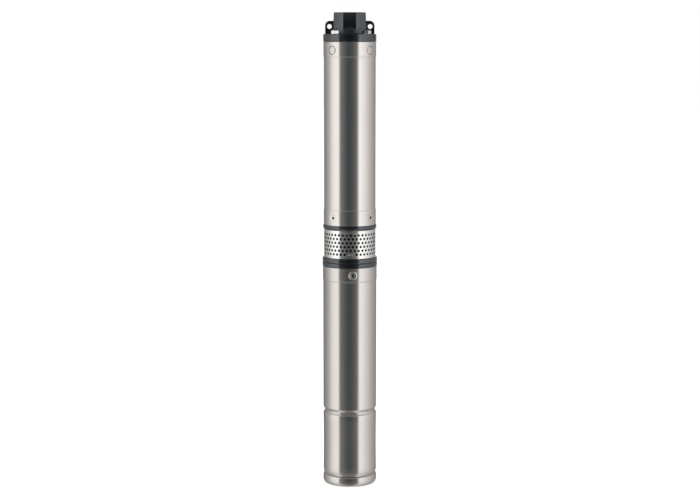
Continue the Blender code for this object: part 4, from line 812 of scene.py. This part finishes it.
bolt_azimuths = [MOTOR_BOLT_AZIMUTH + 90 * index for index in range(4)]
bolt_places = [upright(azimuth, MOTOR_BOLT_RADIUS) for azimuth in bolt_azimuths]
inlet_place = upright(GUARD_AZIMUTH, INLET_RADIUS)
cut_all(motor_flange, cylinder("bore", BOLT_BORE, 390.0, 407.5), bolt_places)
cut_all(motor_flange, cylinder("filler_bore", FILLER_BORE, 39.0, 48.0), [filler_place])
cut_all(motor_flange, cylinder("inlet_bore", 9.6, 399.0, 407.5), [inlet_place])
dress(motor_flange, black_casting, ["motor_top_bracket"], smooth=CASTING_SMOOTH)

# %% [markdown]
# ## The intake casting
# A ring under the pump sleeve and a flange on the motor, with a lantern wall between them. The wall has one window
# over each bolt, and water comes to it through the strainer. Behind the rest of the strainer there is black
# casting, which is why its holes look black. The ring is a little thicker below its upper band, then tapers.

# %% Intake casting
RING_RADIUS = 48.1
SPIGOT_RADIUS = 44.6
RING_FOOT = 465.3
SLEEVE_FOOT = 473.1
intake = turned(
    "intake_casting",
    [
        (SPIGOT_RADIUS, 500.1),
        (SPIGOT_RADIUS, SLEEVE_FOOT),
        (RING_RADIUS - 0.9, SLEEVE_FOOT),
        (RING_RADIUS - 0.5, SLEEVE_FOOT - 0.2),
        (RING_RADIUS - 0.35, SLEEVE_FOOT - 0.7),
        (RING_RADIUS - 0.35, 470.5),
        (RING_RADIUS - 0.25, 470.1),
        (RING_RADIUS - 0.05, 469.5),
        (RING_RADIUS, 469.2),
        (RING_RADIUS, 468.3),
        (RING_RADIUS - 0.2, 467.9),
        (RING_RADIUS - 1.6, RING_FOOT + 0.1),
        (RING_RADIUS - 1.7, RING_FOOT),
        (35.0, RING_FOOT),
        (35.0, 500.1),
    ],
)
lower_flange = turned(
    "intake_flange",
    [
        (48.05, INTAKE_DECK),
        (48.65, 414.7),
        (FLANGE_RADIUS, 414.0),
        (FLANGE_RADIUS, 407.5),
        (48.7, 406.8),
        (48.15, MOTOR_FACE),
        (26.0, MOTOR_FACE),
        (26.0, INTAKE_DECK),
    ],
)
combine(intake, lower_flange, "UNION")
WINDOW_WIDTH = 26.0
window_middle = (RING_FOOT + INTAKE_DECK) / 2
wall = turned("lantern_wall", [(43.0, 465.9), (43.0, 414.3), (37.0, 414.3), (37.0, 465.9)])
window = block("window", (WINDOW_WIDTH, 12.0, RING_FOOT - INTAKE_DECK), (0, 0, window_middle))
soften(window, 4.0, segments=4)
cut_all(wall, window, bolt_places)
combine(intake, wall, "UNION")
cut_all(intake, cylinder("bore", BOLT_BORE, 406.0, 415.6), bolt_places)
cut_all(intake, block("guard_channel", (22.6, 67.4, 50.0), (0, 0, 69.9)), [outwards(GUARD_AZIMUTH, 439.6)])
cut_all(intake, block("inlet_notch", (12.0, 9.6, 50.0), (0, 0, 62.0)), [outwards(GUARD_AZIMUTH, 410.7)])
SCREW_AZIMUTHS = (-40.0, 54.0, 140.0, 234.0)
SCREW_HEIGHT = 487.4
screw_places = [outwards(azimuth, SCREW_HEIGHT) for azimuth in SCREW_AZIMUTHS]
cut_all(intake, cylinder("bore", 5.6, 39.0, 47.0), screw_places)
dress(intake, black_casting, ["intake_bracket"], smooth=CASTING_SMOOTH)

# %% [markdown]
# ## The strainer
# A band of thin steel punched with six staggered rows of round holes, forty to a row, and left whole behind the
# cable guard. One punch is made and copied to every hole, and all are cut in one go.

# %% Strainer
STRAINER_RADIUS = 46.15
STRAINER_COLUMNS = 40
STRAINER_ROWS = 6
ROW_SPACING = 6.9
HOLE_DIAMETER = 4.5
HOLE_SIDES = 12
FIRST_HOLE_AZIMUTH = 2.25
# Degrees to each side of the guard that are left whole
WHOLE_BEHIND_GUARD = 20.0
strainer_top = RING_FOOT - 0.3
strainer_foot = INTAKE_DECK + 0.3
band = turned(
    "strainer_band",
    [
        (STRAINER_RADIUS, strainer_top),
        (STRAINER_RADIUS, strainer_foot),
        (STRAINER_RADIUS - 0.8, strainer_foot),
        (STRAINER_RADIUS - 0.8, strainer_top),
    ],
    steps=160,
)
strainer_middle = (strainer_top + strainer_foot) / 2
column = 360 / STRAINER_COLUMNS
punches = []
for row in range(STRAINER_ROWS):
    height = strainer_middle + ((STRAINER_ROWS - 1) / 2 - row) * ROW_SPACING
    for index in range(STRAINER_COLUMNS):
        azimuth = FIRST_HOLE_AZIMUTH + index * column + (row % 2) * column / 2
        away = (azimuth - GUARD_AZIMUTH + 180) % 360 - 180
        if abs(away) > WHOLE_BEHIND_GUARD:
            punches.append(outwards(azimuth, height))
cut_all(band, cylinder("punch", HOLE_DIAMETER, 43.0, 48.0, HOLE_SIDES), punches)
dress(band, strainer_steel, ["strainer"])
# The inner faces and the hole walls take the near-black finish: painted shade
band.data.materials.append(strainer_inside_painted_shade)
for face in band.data.polygons:
    out = Vector((face.center.x, face.center.y, 0)).normalized()
    if face.normal.dot(out) < 0.5:
        face.material_index = 1
print("holes:", len(punches))

# %% [markdown]
# ## The pump sleeve
# The sleeve is thin tube, its ends pressed out a little where they sit on the castings. Near the top four flush
# rivets hold it, near the foot four countersunk screws in round dimples.

# %% Pump sleeve
SLEEVE_RADIUS = 46.1
SLEEVE_END = 46.75
RIVET_AZIMUTHS = (-42.0, 50.0, 138.0, 230.0)
RIVET_HEIGHT = 783.6
SWELL = SLEEVE_END - SLEEVE_RADIUS


def swelling(start, end, steps=10):
    """The wall runs out from the tube's radius to its end's, as half a wave between two heights."""
    made = []
    for index in range(steps + 1):
        part = index / steps
        made.append((SLEEVE_RADIUS + SWELL * (0.5 - 0.5 * math.cos(math.pi * part)), start + (end - start) * part))
    return made


sleeve = turned(
    "pump_sleeve_tube",
    [
        (SLEEVE_END - 0.25, 798.2),
        (SLEEVE_END, 797.9),
        (SLEEVE_END, 775.4),
        *reversed(swelling(769.4, 774.4)),
        (SLEEVE_RADIUS, 768.4),
        (SLEEVE_RADIUS, 502.6),
        *swelling(501.6, 499.8),
        (SLEEVE_END, 498.8),
        (SLEEVE_END, 473.7),
        (SLEEVE_END - 0.25, 473.4),
        (44.9, 473.4),
        (44.9, 798.2),
    ],
)
rivet_places = [outwards(azimuth, RIVET_HEIGHT) for azimuth in RIVET_AZIMUTHS]
cut_all(sleeve, cylinder("rivet_hole", 16.0, 40.0, 48.0), rivet_places)
# The tool of a dimple is turned flat, its level 0 the skin of the tube, then bent round the tube along a circle.
# Where it lands on the circle is measured, and each copy is turned from there to its screw
dimple = turned(
    "dimple",
    [
        (0, 2.0), (9.8, 2.0), (9.6, 0.05), (9.0, -0.01), (8.2, -0.05), (7.2, -0.12), (6.2, -0.2), (5.4, -0.28),
        (4.8, -0.36), (4.8, -4.0), (0, -4.0),
    ],
    closed=False,
    steps=64,
)
settle(dimple, Matrix.Rotation(math.radians(-90), 4, "X"))
bpy.ops.curve.primitive_bezier_circle_add(radius=SLEEVE_END * MM)
circle = bpy.context.object
circle.data.resolution_u = 64
wrap = dimple.modifiers.new("Wrap", "CURVE")
wrap.object = circle
wrap.deform_axis = "POS_X"
activate(dimple)
bpy.ops.object.modifier_apply(modifier=wrap.name)
bpy.data.objects.remove(circle)
centre = sum((vertex.co for vertex in dimple.data.vertices), Vector()) / len(dimple.data.vertices)
landed = math.degrees(math.atan2(centre.x, -centre.y))
print("the dimple's tool landed at azimuth", round(landed, 1))
lift = Matrix.Translation((0, 0, SCREW_HEIGHT * MM))
turns = [Matrix.Rotation(math.radians(azimuth - landed), 4, "Z") for azimuth in SCREW_AZIMUTHS]
cut_all(sleeve, dimple, [lift @ turn for turn in turns])
dress(sleeve, satin_steel, ["pump_sleeve"])

# %% [markdown]
# ## Rivets and screws in the sleeve
# A rivet is a wide flat button, its edge rolled down. A screw is countersunk, with a hexagon socket painted dark
# inside as painted shade.

# %% Rivets and screws
rivet = turned(
    "sleeve_rivet_button",
    [
        (0, 47.0), (4.0, 46.97), (6.1, 46.85), (6.9, 46.6), (7.4, 46.2), (7.65, 45.7), (7.7, 44.9), (3.0, 44.9),
        (3.0, 39.6), (0, 39.6),
    ],
    closed=False,
    steps=SMALL_ROUND,
)
for index, piece in enumerate(copies(rivet, rivet_places)):
    dress(piece, satin_steel, [f"sleeve_rivet_{index + 1}"])

screw = turned(
    "sleeve_screw_countersunk",
    [
        (0, 46.2), (4.55, 46.2), (4.75, 45.9), (2.5, 44.6), (2.5, 39.25), (0, 39.25),
    ],
    closed=False,
    steps=SMALL_ROUND,
)
combine(screw, cylinder("socket", 5.8, 42.6, 47.0, 6), "DIFFERENCE")


def paint_socket_shade(piece, place, radius):
    """Paints shade on the faces close round a placement's own axis, a socket's, with the dark steel finish."""
    piece.data.materials.append(dark_steel_painted_shade)
    back = place.inverted()
    for face in piece.data.polygons:
        near = back @ face.center
        if math.hypot(near.x, near.y) < radius * MM and 42.0 * MM < near.z < 47.4 * MM:
            face.material_index = 1


for index, piece in enumerate(copies(screw, screw_places)):
    dress(piece, bright_steel, [f"sleeve_screw_{index + 1}"])
    paint_socket_shade(piece, screw_places[index], 2.8)

# %% [markdown]
# ## The filler plug
# The motor is filled through a hole in its collar. A plug with a hexagon socket closes it, and a bright ring
# round it catches the light.

# %% Filler plug and ring
ring = turned(
    "filler_ring_bright",
    [
        (7.8, 47.6), (7.8, 48.1), (7.7, 48.2), (6.6, 48.58), (6.35, 48.61), (6.1, 48.56), (5.6, 48.38),
        (5.55, 48.26), (5.55, 47.53), (7.7, 47.53),
    ],
    steps=SMALL_ROUND,
)
dress(settle(ring, filler_place), bright_steel, ["filler_ring"])
plug = turned(
    "filler_plug_socket",
    [
        (0, 47.5), (2.9, 47.5), (3.4, 47.1), (3.6, 46.6), (4.1, 46.6), (4.3, 47.3), (4.6, 47.6), (4.9, 47.55),
        (5.25, 46.9), (5.25, 38.6), (0, 38.6),
    ],
    closed=False,
    steps=SMALL_ROUND,
)
combine(plug, cylinder("socket", 4.6, 44.0, 49.0, 6), "DIFFERENCE")
dress(settle(plug, filler_place), bright_steel, ["filler_plug"])
# The plug's socket is painted dark inside: painted shade
paint_socket_shade(plug, filler_place, 2.25)

# %% [markdown]
# ## The discharge head
# The head is one casting: a spigot in the sleeve, a flange, a cone, an eight-sided spout for the wrench and two
# ears for the rope. The spout starts as an eight-sided cylinder, drawn in a little towards the top, its edges
# rounded. The ears are a bar whose corners are rounded in edit mode. All is joined, then bored.

# %% Discharge head
DECK = 812.0
SPOUT_TOP = 850.0
FLATS_AT_FOOT = 59.4
FLATS_AT_TOP = 56.6
EAR_THICKNESS = 7.0
EYE_RADIUS_OUT = 36.0
head = turned(
    "discharge_head_casting",
    [
        (0, 824.6), (29.0, 824.6), (29.9, 822.7), (32.0, 818.2), (33.8, 814.2), (34.4, 813.0), (35.4, DECK),
        (46.45, DECK), (47.0, 811.75), (47.25, 811.2), (47.25, 799.1), (46.7, 798.5), (44.6, 798.5),
        (44.6, 766.5), (0, 766.5),
    ],
    closed=False,
)
spout_radius = FLATS_AT_FOOT / 2 / math.cos(math.pi / 8)
top_share = FLATS_AT_TOP / FLATS_AT_FOOT
spout = cylinder("spout", 2 * spout_radius, 811.4, SPOUT_TOP, 8)
settle(spout, Matrix.Rotation(math.pi / 8, 4, "Z"))
clear_points(spout)
for vertex in spout.data.vertices:
    vertex.select = vertex.co.z > (SPOUT_TOP - 1.0) * MM
bpy.ops.object.mode_set(mode="EDIT")
bpy.ops.mesh.select_mode(type="VERT")
bpy.ops.transform.resize(value=(top_share, top_share, 1.0), center_override=(0, 0, SPOUT_TOP * MM))
bpy.ops.object.mode_set(mode="OBJECT")
soften(spout, 1.6, segments=3, angle=30.0)
combine(head, spout, "UNION")

ear = block("ears", (87.4, EAR_THICKNESS, 23.6), (0, 0, DECK + 11.2))
clear_points(ear)
for edge in ear.data.edges:
    ends = [ear.data.vertices[index].co for index in edge.vertices]
    along = ends[1] - ends[0]
    edge.select = abs(along.y) > 5.0 * MM and ends[0].z > (DECK + 18.0) * MM
bpy.ops.object.mode_set(mode="EDIT")
bpy.ops.mesh.select_mode(type="EDGE")
bpy.ops.mesh.bevel(offset=8.0 * MM, segments=8, affect="EDGES")
bpy.ops.object.mode_set(mode="OBJECT")
soften(ear, 1.0, segments=2, angle=50.0)
combine(head, ear, "UNION")

eye_shifts = [Matrix.Translation((side * EYE_RADIUS_OUT * MM, 0, 0)) for side in (-1, 1)]
cut_all(head, cylinder("eye", 8.3, -8.0, 8.0, 32), [outwards(0, DECK + 13.0) @ shift for shift in eye_shifts])

# %% [markdown]
# ### Bores of the head
# The outlet has a female pipe thread, eleven threads to the inch, drawn as rings that each stand for one turn.
# Below it the bore widens into the valve's chamber and pocket. A flat spot is milled into the cone for each bolt.

# %% Bores of the head
THREAD_PITCH = 2.31
thread = [(0, 851.0), (21.2, 851.0), (21.2, 849.6)]
height = 848.6
while height - THREAD_PITCH > 821.0:
    thread.append((19.5, height))
    thread.append((20.6, height - THREAD_PITCH / 2))
    height -= THREAD_PITCH
thread.append((19.5, height))
passage = turned(
    "passage",
    [*thread, (19.5, 820.0), (26.0, 805.4), (26.0, 775.5), (30.0, 775.5), (30.0, 765.0), (0, 765.0)],
    closed=False,
    steps=96,
)
combine(head, passage, "DIFFERENCE")
HEAD_BOLT_AZIMUTHS = (-41.0, 49.0, 139.0, 229.0)
HEAD_BOLT_RADIUS = 40.0
FLANGE_MIDDLE = 805.25
SEAM_AZIMUTH = 65.6
head_bolt_places = [upright(azimuth, HEAD_BOLT_RADIUS) for azimuth in HEAD_BOLT_AZIMUTHS]
cut_all(head, cylinder("bore", BOLT_BORE, 795.7, 813.0), head_bolt_places)
cut_all(head, cylinder("spot", 15.8, DECK, 826.0), head_bolt_places)
cut_all(head, cylinder("bore", 6.6, 39.3, 48.0), rivet_places)
cut_all(head, block("lead_notch", (16.0, 14.1, 47.0), (0, 0, 68.4)), [outwards(GUARD_AZIMUTH, FLANGE_MIDDLE)])
cut_all(head, block("seam", (2.6, 11.9, 6.0), (0, 0, 47.25)), [outwards(SEAM_AZIMUTH, FLANGE_MIDDLE)])
boss = turned("stem_guide", [(6.25, 815.4), (6.25, 799.4), (3.3, 799.4), (3.3, 815.4)], steps=SMALL_ROUND)
combine(head, boss, "UNION")
rib = block("guide_rib", (3.0, 23.0, 5.0), (0, -15.2, 802.4))
ribs = copies(rib, [Matrix.Rotation(math.radians(120 * index), 4, "Z") for index in range(3)])
combine(head, joined("guide_ribs", ribs), "UNION")
dress(head, black_casting, ["discharge_head"], smooth=CASTING_SMOOTH)

# %% [markdown]
# ## Bolts
# Four hexagon bolts hold the head and four the intake. The head is a hexagon on a round washer face, its top
# corners turned off.


# %% Bolts
def hexagon_bolt(name, flats, head_height, shank_length):
    """A bolt whose washer face is at height zero."""
    half = flats / 2
    whole = cylinder(name, flats / math.cos(math.pi / 6), 0.7, head_height, 6)
    turned_off = turned(
        "turned_off",
        [
            (0, head_height), (half - 1.9, head_height), (half - 1.2, head_height - 0.25),
            (half + 1.2, head_height - 2.0), (half + 1.2, 0.6), (0, 0.6),
        ],
        closed=False,
        steps=48,
    )
    combine(whole, turned_off, "INTERSECT")
    washer = turned(
        "washer_face",
        [(0, 1.2), (half - 0.4, 1.2), (half - 0.4, 0.3), (4.0, 0.3), (4.0, -shank_length), (0, -shank_length)],
        closed=False,
        steps=48,
    )
    combine(whole, washer, "UNION")
    return whole


# Degrees at which each head bolt stopped when it was tightened
BOLT_TURNS = (-14.0, 31.0, 10.0, 44.0)
places = [
    upright(azimuth, HEAD_BOLT_RADIUS, DECK) @ Matrix.Rotation(math.radians(turn), 4, "Z")
    for azimuth, turn in zip(HEAD_BOLT_AZIMUTHS, BOLT_TURNS)
]
for index, piece in enumerate(copies(hexagon_bolt("head_bolt_hexagon", 13.0, 7.1, 16.0), places)):
    dress(piece, bright_steel, [f"head_bolt_{index + 1}"])
places = [upright(azimuth, MOTOR_BOLT_RADIUS, INTAKE_DECK) for azimuth in bolt_azimuths]
for index, piece in enumerate(copies(hexagon_bolt("motor_bolt_hexagon", 12.0, 9.7, 19.4), places)):
    dress(piece, zinc_flake, [f"motor_bolt_{index + 1}"])

# %% [markdown]
# ## Cable guard and inlet
# On the far side a shallow steel channel covers the motor lead on its way up. It is thin sheet folded over four
# bends: the outline of its section is drawn once, then pushed up along the pump. The lead plugs into a rubber
# gland in the motor's flange.

# %% Cable guard and inlet
guard_half = 11.0
guard_base = SLEEVE_END * math.cos(math.asin(guard_half / SLEEVE_END)) + 0.6
guard_top = SLEEVE_END + 5.0
sheet = 0.8
fold = 3.4
fold_centre = (guard_half - fold, guard_top - fold)
bend = [(guard_half, guard_base), (guard_half, guard_top - fold), *arc(fold_centre, fold, 15, 90, 5)]
outer_line = bend + [(-x, y) for x, y in reversed(bend)]
inner_half = guard_half - sheet
inner_bend = [(inner_half, guard_base), (inner_half, guard_top - fold)]
inner_bend += arc(fold_centre, fold - sheet, 15, 90, 5)
inner_line = inner_bend + [(-x, y) for x, y in reversed(inner_bend)]
section = outer_line + list(reversed(inner_line))
guard_low, guard_high = 415.9, 797.9
guard = drawn_line("cable_guard_channel", [(x, -y, guard_low) for x, y in [*section, section[0]]])
bpy.ops.mesh.edge_face_add()
bpy.ops.mesh.extrude_region_move(TRANSFORM_OT_translate={"value": (0, 0, (guard_high - guard_low) * MM)})
bpy.ops.mesh.select_all(action="SELECT")
bpy.ops.mesh.normals_make_consistent(inside=False)
bpy.ops.object.mode_set(mode="OBJECT")
settle(guard, Matrix.Rotation(math.radians(GUARD_AZIMUTH), 4, "Z"))
dress(guard, satin_steel, ["cable_guard"])

gland = turned(
    "cable_gland",
    [
        (0, 402.3), (2.5, 402.3), (2.5, 410.0), (2.8, 410.5), (3.9, 410.5), (4.3, 410.3), (4.5, 409.9),
        (4.5, 399.3), (0, 399.3),
    ],
    closed=False,
    steps=SMALL_ROUND,
)
dress(settle(gland, inlet_place), rubber, ["cable_inlet"])

# %% [markdown]
# ## The check valve
# Looking down the outlet one sees the valve: a brass poppet on its seat, its stem in the guide. Both are turned.
# The spring between them stays as the engineering model has it, because it shortens when the valve lifts.

# %% Check valve
seat = turned(
    "valve_seat_ring",
    [(29.2, 775.2), (29.7, 774.7), (29.7, 766.5), (17.0, 766.5), (17.0, 773.4), (18.8, 775.2)],
    steps=96,
)
dress(seat, brass, ["valve_seat"])
poppet = turned(
    "valve_poppet_turned",
    [
        (0, 807.8), (1.9, 807.8), (2.5, 807.2), (2.5, 781.2), (3.4, 780.8), (20.2, 780.8), (21.0, 780.0),
        (21.0, 777.0), (19.4, 775.8), (0, 775.8),
    ],
    closed=False,
    steps=72,
)
dress(poppet, brass, ["valve_poppet"], body="valve")

# %% [markdown]
# ## Finishes of what stays
# The pieces inside keep the engineering model's shapes. Each takes the finish of its slot in the record, except
# the coupling, which takes the dark steel as painted shade behind the strainer's holes.

# %% Finishes of the inner pieces
finishes = {
    "satin_steel": satin_steel,
    "bright_steel": bright_steel,
    "black_casting": black_casting,
    "black_rubber": rubber,
    "valve_brass": brass,
    "filled_plastic": plastic,
    "laminations": laminations,
    "copper_winding": winding,
    "capacitor_can": drawn_can,
}
kept = 0
for row in frame["record"]["subparts"]:
    node = frame["nodes"][row["node"]]
    if node.hide_render:
        continue
    # The coupling takes the dark steel: blackened steel, and painted shade behind the strainer's holes
    finish = dark_steel_painted_shade if row["node"] == "coupling" else finishes[row["material_slot"]]
    node.data.materials.clear()
    node.data.materials.append(finish)
    kept += 1
print("engineering nodes shown with a new finish:", kept)
